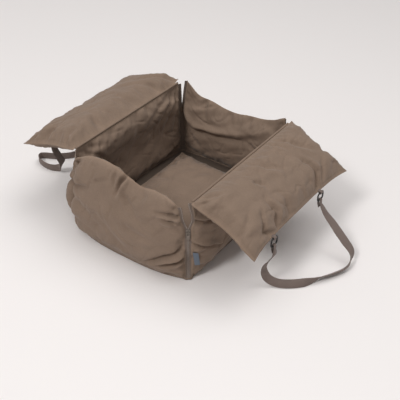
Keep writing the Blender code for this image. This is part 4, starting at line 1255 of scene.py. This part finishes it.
def cover_tree(cover, shape):
    """Look-up of a cover's points by their place in metres and side."""
    if cover.name not in cover_trees:
        mesh = cover.data
        shares = read_shares(mesh)
        points = read_points(mesh)
        tree = kdtree.KDTree(len(points))
        for index, (u, v, side) in enumerate(shares):
            tree.insert(Vector((u * shape.half_length, v * shape.half_width, side)), index)
        tree.balance()
        cover_trees[cover.name] = (tree, shares, points, read_normals(mesh))
    return cover_trees[cover.name]


# Zips

# The woven tapes reach from just past the zip's middle line into the walls' seams
TAPE_START = -0.0002
TAPE_TUCK = 0.002
TAPE_HALF_THICKNESS = 0.0005
COIL_START = 0.0005
COIL_RADIUS = 0.0008
CAST_ROUNDING = 0.0003


def tape_run(corner, wall, end, inset):
    """Points up one zip tape at a distance from the zip's middle line when it is closed."""
    rows = 60
    points = []
    for row in range(rows + 1):
        height = wall.height(end, 2 * row / rows - 1)
        shift = wall.spread(end, height)
        points.append(corner.at(height) + wall.away(end) * (inset + shift))
    return points


def build_tape(corner, wall, end, name):
    """One woven tape, whose outer edge goes into its wall's seam."""
    inner = tape_run(corner, wall, end, TAPE_START)
    outer = tape_run(corner, wall, end, COVER_EDGE + TAPE_TUCK)
    lift = corner.outward * TAPE_HALF_THICKNESS
    rings = [[a - lift, b - lift, b + lift, a + lift] for a, b in zip(inner, outer)]
    tape = tube_piece(name + "_woven", rings, "tape")
    place_piece(tape, "seat", [name])


def zip_coils():
    """The coil turns of all four zips, set along the tapes' inner edges."""
    walls = make_walls()
    paths = []
    directions = []
    for corner in CORNERS:
        for wall, end in walls_at(corner, walls):
            run = tape_run(corner, wall, end, COIL_START + COIL_WIDTH / 2)
            paths.append([point + corner.outward * COIL_RADIUS for point in run])
            directions.append(wall.away(end))
    return bar_rows("zip_coils", paths, directions, sizes().coil_pitch, COIL_RADIUS, COIL_WIDTH, "coil")


def walls_at(corner, walls):
    """The end wall and the side wall that meet at a corner, each with its end there."""
    end_wall = walls["front" if corner.sign_y < 0 else "back"]
    side_wall = walls["left" if corner.sign_x < 0 else "right"]
    return ((end_wall, corner.sign_x), (side_wall, corner.sign_y))


def row_tree(name):
    """Rounded bars set at even steps along paths, each turned to a stored direction."""
    tree = bpy.data.node_groups.new(name, "GeometryNodeTree")
    tree.is_modifier = True
    sockets = tree.interface
    sockets.new_socket("Geometry", in_out="INPUT", socket_type="NodeSocketGeometry")
    for label, low in (("Pitch", 0.0005), ("Radius", 0.00005), ("Length", 0.0001)):
        socket = sockets.new_socket(label, in_out="INPUT", socket_type="NodeSocketFloat")
        socket.min_value = low
    sockets.new_socket("Finish", in_out="INPUT", socket_type="NodeSocketMaterial")
    sockets.new_socket("Geometry", in_out="OUTPUT", socket_type="NodeSocketGeometry")
    given = add_node(tree, "NodeGroupInput").outputs
    curve = add_node(tree, "GeometryNodeMeshToCurve", {"Mesh": given["Geometry"]})
    steps = add_node(tree, "GeometryNodeResampleCurve", {"Curve": curve.outputs["Curve"],
                                                         "Length": given["Pitch"]}, mode="LENGTH")
    direction = add_node(tree, "GeometryNodeInputNamedAttribute", {"Name": "direction"},
                         data_type="FLOAT_VECTOR")
    turn = add_node(tree, "FunctionNodeAlignRotationToVector",
                    {"Vector": direction.outputs["Attribute"]}, axis="Z")
    grain = add_node(tree, "GeometryNodeMeshUVSphere", {"Segments": 6, "Rings": 5, "Radius": 1.0})
    half = add_node(tree, "ShaderNodeMath", {0: given["Length"], 1: 2.0}, operation="DIVIDE")
    size = add_node(tree, "ShaderNodeCombineXYZ", {"X": given["Radius"], "Y": given["Radius"],
                                                   "Z": half.outputs["Value"]})
    bars = add_node(tree, "GeometryNodeInstanceOnPoints",
                    {"Points": steps.outputs["Curve"], "Instance": grain.outputs["Mesh"],
                     "Rotation": turn.outputs["Rotation"], "Scale": size.outputs["Vector"]})
    real = add_node(tree, "GeometryNodeRealizeInstances", {"Geometry": bars.outputs["Instances"]})
    painted = add_node(tree, "GeometryNodeSetMaterial", {"Geometry": real.outputs["Geometry"],
                                                         "Material": given["Finish"]})
    add_node(tree, "NodeGroupOutput", {"Geometry": painted.outputs["Geometry"]})
    return tree


def bar_rows(name, paths, directions, pitch, radius, length, finish):
    """One plain mesh of bars along all paths; no direction means along the path itself."""
    points = []
    edges = []
    turned = []
    for path, direction in zip(paths, directions):
        for index, point in enumerate(path):
            if index > 0:
                edges.append((len(points) - 1, len(points)))
            ahead = path[min(index + 1, len(path) - 1)] - path[max(index - 1, 0)]
            turned.extend(direction or ahead.normalized())
            points.append(tuple(point))
    mesh = bpy.data.meshes.new(name)
    mesh.from_pydata(points, edges, [])
    mesh.attributes.new("direction", "FLOAT_VECTOR", "POINT").data.foreach_set("vector", turned)
    rows = in_scene(name, mesh)
    tree = bpy.data.node_groups.get("bar_rows") or row_tree("bar_rows")
    modifier = rows.modifiers.new("rows", "NODES")
    modifier.node_group = tree
    values = {"Pitch": pitch, "Radius": radius, "Length": length, "Finish": finish_of(finish)}
    for item in tree.interface.items_tree:
        if item.in_out == "INPUT" and item.name in values:
            modifier[item.identifier] = values[item.name]
    apply_modifiers(rows)
    rows.data.shade_smooth()
    return rows


def rounded_copy(node, finish, bevel):
    """A solid's own shape with its edges rounded off, as a new piece."""
    builder = bmesh.new()
    builder.from_mesh(frame["nodes"][node].data)
    bmesh.ops.remove_doubles(builder, verts=builder.verts[:], dist=0.00001)
    bmesh.ops.dissolve_limit(builder, angle_limit=math.radians(1), verts=builder.verts[:],
                             edges=builder.edges[:])
    bmesh.ops.bevel(builder, geom=builder.edges[:], offset=bevel, segments=2, affect="EDGES",
                    profile=0.6, clamp_overlap=True)
    mesh = bpy.data.meshes.new(node + "_finished")
    builder.to_mesh(mesh)
    builder.free()
    mesh.materials.clear()
    mesh.materials.append(finish_of(finish))
    mesh.shade_smooth()
    mesh.set_sharp_from_angle(angle=math.radians(40))
    return in_scene(node + "_finished", mesh)


# Webbing

# Half of a strap's cross-section each way, as shares of its half width and half thickness
STRAP_PROFILE = ((-1.0, -0.35), (-0.93, -0.9), (0.0, -1.0), (0.93, -0.9), (1.0, -0.35),
                 (1.0, 0.35), (0.93, 0.9), (0.0, 1.0), (-0.93, 0.9), (-1.0, 0.35))
STRAP_LOWEST = 0.0005

# How many points of its route a handle takes to widen from its folded neck
NECK_POINTS = 4

# The ring tabs: their width, how far they go into the flap's seam, and the room in it
TAB_WIDTH = 0.011
TAB_TUCK = 0.004
TAB_FOLD_ROOM = 0.0003


def strap_frames(points, directions):
    """Width and thickness directions at each point of a strap."""
    last = len(points) - 1
    frames = []
    for index, across in enumerate(directions):
        tangent = (points[min(index + 1, last)] - points[max(index - 1, 0)]).normalized()
        across = (across - tangent * across.dot(tangent)).normalized()
        frames.append((across, tangent.cross(across)))
    return frames


def build_strap(name, points, widths, directions, lowest=-math.inf):
    """A flat woven strap with soft edges, lifted wherever it would pass a lowest height."""
    rings = []
    for point, width, (across, thick) in zip(points, widths, strap_frames(points, directions)):
        ring = [point + across * a * width / 2 + thick * b * WEBBING_THICKNESS / 2
                for a, b in STRAP_PROFILE]
        lift = max(lowest - min(corner.z for corner in ring), 0)
        rings.append([corner + UP * lift for corner in ring])
    across_places = [a * sizes().webbing_width / 2 for a, _ in STRAP_PROFILE]
    return tube_piece(name, rings, "webbing", widths=across_places)


# Routes of the handles from the front ring to the back ring: outwards from the ring axis,
# towards the back of the seat, and height above the floor, with the strap's width direction
HANDLE_ROUTES = {
    "right": (
        ((0.004, -0.149, 0.129), (0.00, 1.00, 0.00)),
        ((-0.008, -0.151, 0.105), (0.00, 1.00, 0.00)),
        ((-0.020, -0.153, 0.082), (0.05, 0.97, -0.20)),
        ((-0.025, -0.150, 0.054), (0.15, 0.90, 0.15)),
        ((-0.013, -0.145, 0.027), (0.31, 0.77, 0.56)),
        ((0.013, -0.133, 0.014), (-0.05, 0.65, 0.75)),
        ((0.045, -0.113, 0.013), (-0.33, 0.50, 0.80)),
        ((0.073, -0.086, 0.013), (-0.30, 0.42, 0.86)),
        ((0.093, -0.060, 0.014), (0.15, -0.15, 0.98)),
        ((0.107, -0.030, 0.013), (0.46, -0.60, 0.65)),
        ((0.126, 0.005, 0.012), (0.47, -0.64, 0.61)),
        ((0.143, 0.045, 0.014), (0.47, -0.64, 0.61)),
        ((0.142, 0.073, 0.025), (0.25, -0.85, 0.40)),
        ((0.130, 0.094, 0.040), (-0.10, -0.98, -0.05)),
        ((0.106, 0.098, 0.060), (-0.25, -0.92, -0.28)),
        ((0.078, 0.103, 0.081), (-0.25, -0.92, -0.28)),
        ((0.050, 0.110, 0.100), (-0.15, -0.97, -0.15)),
        ((0.024, 0.113, 0.120), (0.00, -1.00, 0.00)),
    ),
    "left": (
        ((0.003, -0.141, 0.135), (0.00, 1.00, 0.00)),
        ((0.008, -0.121, 0.090), (-0.10, 0.85, 0.50)),
        ((0.017, -0.103, 0.052), (-0.25, 0.60, 0.75)),
        ((0.040, -0.100, 0.021), (-0.25, 0.25, 0.95)),
        ((0.075, -0.110, 0.014), (0.00, 0.00, 1.00)),
        ((0.111, -0.110, 0.014), (0.00, 0.00, 1.00)),
        ((0.142, -0.099, 0.014), (0.00, 0.00, 1.00)),
        ((0.153, -0.081, 0.014), (0.00, 0.00, 1.00)),
        ((0.140, -0.068, 0.014), (0.00, 0.00, 1.00)),
        ((0.105, -0.048, 0.014), (0.00, 0.00, 1.00)),
        ((0.068, -0.012, 0.014), (0.00, 0.00, 1.00)),
        ((0.052, 0.038, 0.014), (0.00, -0.05, 1.00)),
        ((0.042, 0.084, 0.022), (0.00, -0.40, 0.90)),
        ((0.024, 0.109, 0.062), (0.00, -0.90, 0.40)),
        ((0.010, 0.113, 0.125), (0.00, -1.00, 0.00)),
    ),
}


def handle_frame(flap):
    """From a handle's own frame, with +Z up at rest, to the seat's."""
    tilt = FLAP_TILTS[flap.side]
    return flap.frame @ Matrix.Translation((RING_AXIS, 0, 0)) @ Euler((0, -tilt, 0)).to_matrix().to_4x4()


def ring_turn(y):
    """Route round a ring's lower bar, from the strap's folded-back end to its free side."""
    bar = Vector((0, y, -RING_HEIGHT))
    folded = RING_BAR_HOLD - WEBBING_THICKNESS - FOLD_GAP
    points = [bar + Vector((folded, 0, -FOLDED_END)),
              bar + Vector((-RING_BAR_HOLD, 0, -FOLDED_END / 2))]
    turns = 10
    for step in range(turns + 1):
        angle = math.pi * (1 - step / turns)
        points.append(bar + Vector((math.cos(angle), 0, math.sin(angle))) * RING_BAR_HOLD)
    points.append(bar + Vector((RING_BAR_HOLD, 0, -FOLDED_END / 2)))
    return points


def free_run(keys):
    """Points and width directions of a handle between its two ring turns."""
    steps = 8
    points = []
    directions = []
    last = len(keys) - 1
    for index in range(last):
        start, start_direction = keys[index]
        end, end_direction = keys[index + 1]
        before = keys[max(index - 1, 0)][0]
        after = keys[min(index + 2, last)][0]
        for step in range(1, steps + 1):
            part = step / steps
            points.append(between(before, start, end, after, part))
            directions.append(start_direction.slerp(end_direction, part))
    return points[:-1], directions[:-1]


def handle_line(flap):
    """Points, widths and width directions of one handle in the seat's frame."""
    turned = -1 if flap.side == "left" else 1
    place = handle_frame(flap)
    axis_height = place.translation.z
    front_turn = ring_turn(-RING_SHIFT - RING_PITCH / 2)
    back_turn = ring_turn(-RING_SHIFT + RING_PITCH / 2)[::-1]
    keys = [(front_turn[-1], ALONG)]
    for (outward, back, height), direction in HANDLE_ROUTES[flap.side]:
        keys.append((Vector((outward, back, height - axis_height)), Vector(direction).normalized()))
    keys.append((back_turn[0], -ALONG))
    run, run_directions = free_run(keys)
    points = front_turn + run + back_turn
    directions = [ALONG] * len(front_turn) + run_directions + [-ALONG] * len(back_turn)
    full = sizes().webbing_width
    widths = [NECK_WIDTH] * len(front_turn)
    for index in range(len(run)):
        from_end = min(index, len(run) - 1 - index)
        widths.append(NECK_WIDTH + (full - NECK_WIDTH) * swell(from_end, NECK_POINTS))
    widths += [NECK_WIDTH] * len(back_turn)
    points = [place @ Vector((p.x, p.y * turned, p.z)) for p in points]
    directions = [place.to_3x3() @ Vector((d.x, d.y * turned, d.z)) for d in directions]
    return points, widths, directions


def ring_places(flap):
    """Where the two rings hang along the flap: name and place in the flap's frame."""
    turned = -1 if flap.side == "left" else 1
    return (("front", (-RING_PITCH / 2 - RING_SHIFT) * turned),
            ("back", (RING_PITCH / 2 - RING_SHIFT) * turned))


def build_ring(name, flap, y):
    """One bent and welded wire ring."""
    place = handle_frame(flap)
    arc_steps = 10
    points = []
    for index, (sx, sy) in enumerate(((1, 1), (-1, 1), (-1, -1), (1, -1))):
        for step in range(arc_steps + 1):
            angle = math.pi / 2 * (index + step / arc_steps)
            across = sx * (RING_WIDTH / 2 - RING_CORNER) + RING_CORNER * math.cos(angle)
            up = sy * (RING_HEIGHT / 2 - RING_CORNER) + RING_CORNER * math.sin(angle)
            points.append(place @ Vector((0, y + across, up - RING_HEIGHT / 2)))
    ring = sweep(name + "_wire", points, RING_WIRE_RADIUS, "ring", sides=14, closed=True)
    place_piece(ring, flap.side + "_handle", [name])


def build_tab(name, flap, y):
    """The short webbing tab that holds a ring at the flap's outer edge."""
    start = FLAP_REACH - FLAP_OUTER_DRAW * (1 - (2 * y / RIM_LENGTH) ** 4) + TAB_SEAT_GAP
    pressed = WEBBING_THICKNESS / 2 + TAB_FOLD_ROOM
    points = [Vector((start - TAB_TUCK, y, pressed)), Vector((start, y, pressed))]
    turns = 14
    for step in range(turns + 1):
        angle = math.pi * (1 / 2 - step / turns)
        points.append(Vector((RING_AXIS + RING_BAR_HOLD * math.cos(angle), y,
                              RING_BAR_HOLD * math.sin(angle))))
    points.append(Vector((start, y, -pressed)))
    points.append(Vector((start - TAB_TUCK, y, -pressed)))
    points = [flap.frame @ point for point in points]
    along = flap.frame.to_3x3() @ ALONG
    count = len(points)
    tab = build_strap(name + "_webbing", points, [TAB_WIDTH] * count, [along] * count)
    place_piece(tab, flap.side + "_flap", [name])


# Label, belt loops and base

# The side label's place and size, in shares of the right wall's half length and height
LABEL_EDGE = 0.912
LABEL_WIDTH = 0.055
LABEL_LEAN = 0.014
LABEL_FOOT = 0.205
LABEL_HEIGHT = 0.175
# How far the label's back and face stand off the cloth, and how far its free end lifts
LABEL_BACK = 0.0012
LABEL_FACE = 0.0020
LABEL_CUPPING = 0.0003
LABEL_FREE_LIFT = 0.0040

# Belt loops: the height of their middle, their gap at the sewn ends and halfway up
BELT_LOOP_WIDTH = 0.030
BELT_LOOP_LENGTH = 0.090
BELT_LOOP_MIDDLE = 0.150
BELT_LOOP_SEAT = 0.0018
BELT_LOOP_ROOM = 0.012
# How many of its points each sewn end of a belt loop takes up
BELT_LOOP_SEWN = 5

FOOT_PIPING_RADIUS = 0.0026
FOOT_PIPING_INSET = 0.0020
BASE_ROLL = 0.0008

# Stitches: insets from the seams of the walls and flaps, and from a strap's edge
NEAR_INSET = 0.0037
FAR_INSET = 0.0110
FOOT_INSET = 0.0074
STRAP_INSET = 0.002


def label_point(wall, u, v, standoff):
    """A point of the side label, lifted a little at its free end."""
    along = LABEL_EDGE + LABEL_WIDTH * (u + 1) / 2 + LABEL_LEAN * v
    rise = LABEL_FOOT + LABEL_HEIGHT * (v + 1) / 2
    lift = standoff + LABEL_FREE_LIFT * (1 - u) / 2
    place = (-along, 2 * rise - 1)
    return wall.middle(*place) + wall.normal(*place) * (wall.over(*place) + lift)


def loop_points(wall, x):
    """Points up one belt loop on the back wall."""
    u = x / wall.half_length
    steps = 28
    points = []
    for step in range(steps + 1):
        share = step / steps
        height = BELT_LOOP_MIDDLE + BELT_LOOP_LENGTH * (share - 1 / 2)
        v = 2 * (height - WALL_FOOT) / (wall.rim(u) - WALL_FOOT) - 1
        surface = wall.middle(u, v) + wall.normal(u, v) * wall.over(u, v)
        standoff = (BELT_LOOP_SEAT + WEBBING_THICKNESS / 2
                    + BELT_LOOP_ROOM * math.sin(math.pi * share) ** 2)
        points.append(surface + wall.outward * standoff)
    return points


def foot_outline(walls, inset):
    """The line of the walls' feet, moved in by an inset."""
    points = []
    for name, direction in (("front", 1), ("right", 1), ("back", -1), ("left", -1)):
        wall = walls[name]
        steps = 40
        for step in range(steps + 1):
            u = direction * (2 * step / steps - 1)
            points.append(wall.middle(u, -1) + wall.normal(u, -1) * (EDGE_HALF - inset))
    return points


def stitch_box(points, directions, width, first, last):
    """Four rows of stitches that hold a strap between two of its points."""
    frames = strap_frames(points, directions)
    reach = width / 2 - STRAP_INSET

    def on_face(index, side):
        across, thick = frames[index]
        return points[index] + across * side * reach + thick * WEBBING_THICKNESS / 2

    long_rows = [[on_face(index, side) for index in range(first, last + 1)] for side in (-1, 1)]
    short_rows = [[on_face(index, side) for side in (-1, 0, 1)] for index in (first, last)]
    return long_rows + short_rows


def stitch_rows(name, paths, body):
    """All stitches that move with one body."""
    rows = bar_rows(name, paths, [None] * len(paths), sizes().stitch_pitch,
                    sizes().thread_radius, sizes().stitch_length, "thread")
    place_piece(rows, body)


# Operators

class SEAT_OT_walls(bpy.types.Operator):
    """Sew and fill the four walls of the seat"""

    bl_idname = "dog_seat.walls"
    bl_label = "Walls"

    def execute(self, context):
        for wall in make_walls().values():
            cover = make_cover(wall.name + "_wall_cover", wall)
            place_piece(cover, "seat",
                        [wall.name + part for part in ("_wall_outer_panel", "_wall_pad", "_wall_lining")])
        return {"FINISHED"}


class SEAT_OT_base(bpy.types.Operator):
    """Make the base panel with its rolled edge, and finish the board"""

    bl_idname = "dog_seat.base"
    bl_label = "Base"

    def execute(self, context):
        walls = make_walls()
        levels = ((0.0, BASE_ROLL), (BASE_ROLL, 0.0), (BASE_THICKNESS - BASE_ROLL, 0.0),
                  (BASE_THICKNESS, BASE_ROLL))
        rings = []
        for height, inset in levels:
            rings.append([Vector((p.x, p.y, height)) for p in foot_outline(walls, inset)])
        base = tube_piece("base_cloth_panel", rings, "base")
        place_piece(base, "seat", ["base_panel"])
        line = [Vector((p.x, p.y, WALL_FOOT)) for p in foot_outline(walls, FOOT_PIPING_INSET)]
        piping = sweep("foot_piping", line, FOOT_PIPING_RADIUS, "canvas", sides=10, closed=True)
        place_piece(piping, "seat")
        frame["nodes"]["base_board"].material_slots[0].material = finish_of("board")
        return {"FINISHED"}


class SEAT_OT_cushion(bpy.types.Operator):
    """Sew and fill the loose cushion"""

    bl_idname = "dog_seat.cushion"
    bl_label = "Cushion"

    def execute(self, context):
        cover = make_cover("cushion_cover", Cushion())
        place_piece(cover, "seat", ["cushion_top_cover", "cushion_filling",
                                              "cushion_under_cover"])
        return {"FINISHED"}


class SEAT_OT_flaps(bpy.types.Operator):
    """Sew and fill the two side flaps, with a turned seam round each"""

    bl_idname = "dog_seat.flaps"
    bl_label = "Flaps"

    def execute(self, context):
        for side, flap in make_flaps().items():
            cover = make_cover(side + "_flap_cover", flap)
            place_piece(cover, side + "_flap",
                        [side + part for part in ("_flap_upper_panel", "_flap_filling",
                                                  "_flap_lower_panel")])
            run = edge_points(cover, flap, "first")
            run += edge_points(cover, flap, "high")[1:]
            run += edge_points(cover, flap, "second")[::-1][1:]
            seam = sweep(side + "_flap_seam", run, sizes().seam_radius, "canvas", sides=6)
            place_piece(seam, side + "_flap")
        return {"FINISHED"}


class SEAT_OT_hinge_cords(bpy.types.Operator):
    """Make the covered cord in the seam that each flap turns about"""

    bl_idname = "dog_seat.hinge_cords"
    bl_label = "Hinge cords"

    def execute(self, context):
        half = RIM_LENGTH / 2 - EDGE_STEP
        for side in ("left", "right"):
            hinge = Vector(JOINTS[side + "_flap_fold"]["pos_m"])
            points = []
            for step in range(HINGE_STEPS + 1):
                y = half * (2 * step / HINGE_STEPS - 1)
                # The second value gives each side ripples of its own
                ripple = noise.noise(Vector((y * HINGE_RIPPLE_RATE, hinge.x * 10, 0))) * HINGE_RIPPLE
                points.append(hinge + Vector((ripple, y, ripple)))
            cord = sweep(side + "_hinge_piping", points, HINGE_PIPING_RADIUS, "canvas", sides=12)
            place_piece(cord, "seat", [side + "_hinge_cord"])
        return {"FINISHED"}


class SEAT_OT_zips(bpy.types.Operator):
    """Make the tapes and coils of the four corner zips"""

    bl_idname = "dog_seat.zips"
    bl_label = "Zips"

    def execute(self, context):
        walls = make_walls()
        for corner in CORNERS:
            for kind, (wall, end) in zip(("end_wall", "side_wall"), walls_at(corner, walls)):
                build_tape(corner, wall, end, corner.name + "_zip_" + kind + "_tape")
        place_piece(zip_coils(), "seat")
        return {"FINISHED"}


class SEAT_OT_sliders(bpy.types.Operator):
    """Finish the four cast sliders and their pullers"""

    bl_idname = "dog_seat.sliders"
    bl_label = "Sliders and pullers"

    def execute(self, context):
        for corner in CORNERS:
            for part in ("slider", "puller"):
                node = corner.name + "_zip_" + part
                piece = rounded_copy(node, "slider", CAST_ROUNDING)
                place_piece(piece, corner.name + "_" + part, [node])
        return {"FINISHED"}


class SEAT_OT_rings(bpy.types.Operator):
    """Make the rings and the tabs that hold them to the flaps"""

    bl_idname = "dog_seat.rings"
    bl_label = "Rings and tabs"

    def execute(self, context):
        for side, flap in make_flaps().items():
            for place, y in ring_places(flap):
                build_ring(side + "_" + place + "_ring", flap, y)
                build_tab(side + "_" + place + "_ring_tab", flap, y)
        return {"FINISHED"}


class SEAT_OT_handles(bpy.types.Operator):
    """Make the two webbing handles"""

    bl_idname = "dog_seat.handles"
    bl_label = "Handles"

    def execute(self, context):
        for side, flap in make_flaps().items():
            strap = build_strap(side + "_handle_webbing", *handle_line(flap), STRAP_LOWEST)
            place_piece(strap, side + "_handle", [side + "_handle_strap"])
        return {"FINISHED"}


class SEAT_OT_belt_loops(bpy.types.Operator):
    """Make the two loops on the back wall that the car's belt passes through"""

    bl_idname = "dog_seat.belt_loops"
    bl_label = "Belt loops"

    def execute(self, context):
        back = make_walls()["back"]
        for side, x in BELT_LOOP_PLACES.items():
            points = loop_points(back, x)
            count = len(points)
            loop = build_strap(side + "_belt_webbing", points, [BELT_LOOP_WIDTH] * count,
                               [back.along] * count)
            place_piece(loop, "seat", [side + "_belt_loop"])
        return {"FINISHED"}


class SEAT_OT_label(bpy.types.Operator):
    """Make the small bare label on the right wall"""

    bl_idname = "dog_seat.label"
    bl_label = "Label"

    def execute(self, context):
        wall = make_walls()["right"]
        back_and_face = ((-1, LABEL_BACK), (0, LABEL_BACK - LABEL_CUPPING), (1, LABEL_BACK),
                         (1, LABEL_FACE), (0, LABEL_FACE), (-1, LABEL_FACE))
        rows = 16
        rings = []
        for step in range(rows + 1):
            v = 2 * step / rows - 1
            rings.append([label_point(wall, u, v, standoff) for u, standoff in back_and_face])
        label = tube_piece("bare_side_label", rings, "label")
        place_piece(label, "seat", ["side_label"])
        return {"FINISHED"}


class SEAT_OT_stitches(bpy.types.Operator):
    """Sew the visible rows of stitches"""

    bl_idname = "dog_seat.stitches"
    bl_label = "Stitches"

    def execute(self, context):
        walls = make_walls()
        seat_rows = []
        for wall in walls.values():
            cover = bpy.data.objects[wall.name + "_wall_cover"]
            for track in ("first", "second"):
                for face, inset in ((1, NEAR_INSET), (1, FAR_INSET), (-1, NEAR_INSET)):
                    seat_rows.append(stitch_line(cover, wall, face, track, inset))
            seat_rows.append(stitch_line(cover, wall, 1, "low", FOOT_INSET))
        back = walls["back"]
        for x in BELT_LOOP_PLACES.values():
            points = loop_points(back, x)
            directions = [back.along] * len(points)
            last = len(points) - 1
            for ends in ((1, BELT_LOOP_SEWN), (last - BELT_LOOP_SEWN, last - 1)):
                seat_rows += stitch_box(points, directions, BELT_LOOP_WIDTH, *ends)
        stitch_rows("seat_stitches", seat_rows, "seat")
        for side, flap in make_flaps().items():
            cover = bpy.data.objects[side + "_flap_cover"]
            rows = []
            for face in (1, -1):
                for track in ("first", "second", "high"):
                    rows.append(stitch_line(cover, flap, face, track, NEAR_INSET))
            stitch_rows(side + "_flap_stitches", rows, side + "_flap")
        return {"FINISHED"}


# Stage

CAMERA_TARGET = Vector((0.1276, -0.0909, 0.15))
CAMERA_AZIMUTH = math.radians(36.48)
CAMERA_ELEVATION = math.radians(37.69)
CAMERA_DISTANCE = 2.3356
CAMERA_LENS = 69.29
FLOOR_REACH = 8.0
FLOOR_DROP = 0.0005
# Painted shade on the floor: over this span of Y its colour darkens towards the back, standing in for the
# lamps' falloff
FLOOR_FADE = (-0.8, 2.6)
FLOOR_FAR_SHADE = 0.80
# The suns: where each comes from, its strength and its softness in degrees
SUNS = {
    "key": (Vector((-0.12, -1.00, 1.10)), 1.20, 14),
    "behind": (Vector((0.50, 0.87, 1.73)), 0.74, 40),
}
TOP_STRENGTH = 23.0
TOP_SIZE = 2.6
TOP_PLACE = (0.3, -0.3, 2.6)
SKY_STRENGTH = 0.33


def floor_material():
    """Seamless paper floor: matt and pale, with painted shade that darkens it a little away from the
    camera.
    """
    material, tree, shader = start_material("matt_paper_floor", 0.95, Specular_IOR_Level=0.1)
    place = add_node(tree, "ShaderNodeTexCoord").outputs["Object"]
    axes = add_node(tree, "ShaderNodeSeparateXYZ", {"Vector": place})
    far = add_node(tree, "ShaderNodeMapRange", {"Value": axes.outputs["Y"], "From Min": FLOOR_FADE[0],
                                                "From Max": FLOOR_FADE[1]})
    near_colour = Vector(tuple(colours().floor)[:3])
    # Painted shade: the far floor is darker to stand in for the lamps' falloff
    far_shaded_colour = near_colour * FLOOR_FAR_SHADE
    tint = add_node(tree, "ShaderNodeMix", {0: far.outputs["Result"], 6: (*near_colour, 1.0),
                                            7: (*far_shaded_colour, 1.0)}, data_type="RGBA")
    tree.links.new(tint.outputs[2], shader.inputs["Base Color"])
    return material


def make_floor():
    """A wide floor just under the seat."""
    mesh = bpy.data.meshes.new("floor")
    corners = [(x * FLOOR_REACH, y * FLOOR_REACH, -FLOOR_DROP)
               for x, y in ((-1, -1), (1, -1), (1, 1), (-1, 1))]
    mesh.from_pydata(corners, [], [(0, 1, 2, 3)])
    mesh.materials.append(floor_material())
    floor = in_scene("floor", mesh)


def make_camera():
    """The camera where the photograph was taken from."""
    camera = bpy.data.cameras.new("camera")
    camera.sensor_width = 36
    camera.lens = CAMERA_LENS
    holder = in_scene("camera", camera)
    flat = math.cos(CAMERA_ELEVATION)
    back = Vector((math.sin(CAMERA_AZIMUTH) * flat, -math.cos(CAMERA_AZIMUTH) * flat,
                   math.sin(CAMERA_ELEVATION)))
    holder.location = CAMERA_TARGET + back * CAMERA_DISTANCE
    holder.rotation_euler = back.to_track_quat("Z", "Y").to_euler()
    bpy.context.scene.camera = holder


def make_lamps():
    """A soft key from the front, a softer one from behind and a wide lamp overhead."""
    for name, (way, strength, softness) in SUNS.items():
        lamp = bpy.data.lights.new(name, "SUN")
        lamp.energy = strength
        lamp.angle = math.radians(softness)
        in_scene(name, lamp).rotation_euler = way.to_track_quat("Z", "Y").to_euler()
    top = bpy.data.lights.new("overhead", "AREA")
    top.shape = "SQUARE"
    top.size = TOP_SIZE
    top.energy = TOP_STRENGTH
    in_scene("overhead", top).location = TOP_PLACE


def make_world():
    """Even light from all round; the camera and gloss see a pale studio."""
    world = bpy.data.worlds.new("studio")
    world.use_nodes = True
    tree = world.node_tree
    tree.nodes.clear()
    path = add_node(tree, "ShaderNodeLightPath")
    seen = add_node(tree, "ShaderNodeMath", {0: path.outputs["Is Camera Ray"],
                                             1: path.outputs["Is Glossy Ray"]}, operation="MAXIMUM")
    shown = add_node(tree, "ShaderNodeMath", {0: seen.outputs["Value"],
                                              1: path.outputs["Is Transmission Ray"]},
                     operation="MAXIMUM")
    light = add_node(tree, "ShaderNodeBackground", {"Color": linear("#FFFFFF"),
                                                    "Strength": SKY_STRENGTH})
    pale = add_node(tree, "ShaderNodeBackground", {"Color": linear("#DDD7D7"), "Strength": 1.0})
    mixed = add_node(tree, "ShaderNodeMixShader", {"Fac": shown.outputs["Value"]})
    tree.links.new(light.outputs["Background"], mixed.inputs[1])
    tree.links.new(pale.outputs["Background"], mixed.inputs[2])
    add_node(tree, "ShaderNodeOutputWorld", {"Surface": mixed.outputs["Shader"]})
    bpy.context.scene.world = world


class SEAT_OT_stage(bpy.types.Operator):
    """Set the floor, lamps and camera"""

    bl_idname = "dog_seat.stage"
    bl_label = "Stage"

    def execute(self, context):
        make_floor()
        make_camera()
        make_lamps()
        make_world()
        context.scene.view_settings.view_transform = "Standard"
        return {"FINISHED"}


OPERATORS = (SEAT_OT_walls, SEAT_OT_base, SEAT_OT_cushion, SEAT_OT_flaps, SEAT_OT_hinge_cords,
             SEAT_OT_zips, SEAT_OT_sliders, SEAT_OT_rings, SEAT_OT_handles, SEAT_OT_belt_loops,
             SEAT_OT_label, SEAT_OT_stitches, SEAT_OT_stage)


class SEAT_PT_panel(bpy.types.Panel):
    """Lists the seat's sizes, colours and steps"""

    bl_idname = "SEAT_PT_panel"
    bl_label = "Dog car seat"
    bl_space_type = "VIEW_3D"
    bl_region_type = "UI"
    bl_category = "Dog seat"

    def draw(self, context):
        for group in (context.scene.seat_sizes, context.scene.seat_filling,
                      context.scene.seat_colours):
            column = self.layout.column()
            for name in group.__annotations__:
                column.prop(group, name)
        for operator in OPERATORS:
            self.layout.operator(operator.bl_idname)


GROUPS = {"seat_sizes": SeatSizes, "seat_filling": SeatFilling, "seat_colours": SeatColours}
CLASSES = (*GROUPS.values(), *OPERATORS, SEAT_PT_panel)


def register():
    """Make the classes known and give the scene its values."""
    for item in CLASSES:
        bpy.utils.register_class(item)
    for name, group in GROUPS.items():
        setattr(bpy.types.Scene, name, bpy.props.PointerProperty(type=group))


def unregister():
    """Undo register."""
    for name in GROUPS:
        delattr(bpy.types.Scene, name)
    for item in reversed(CLASSES):
        bpy.utils.unregister_class(item)


def main():
    """Register the classes and build every piece in order."""
    register()
    for operator in OPERATORS:
        family, action = operator.bl_idname.split(".")
        getattr(getattr(bpy.ops, family), action)()


if __name__ == "__main__":
    main()
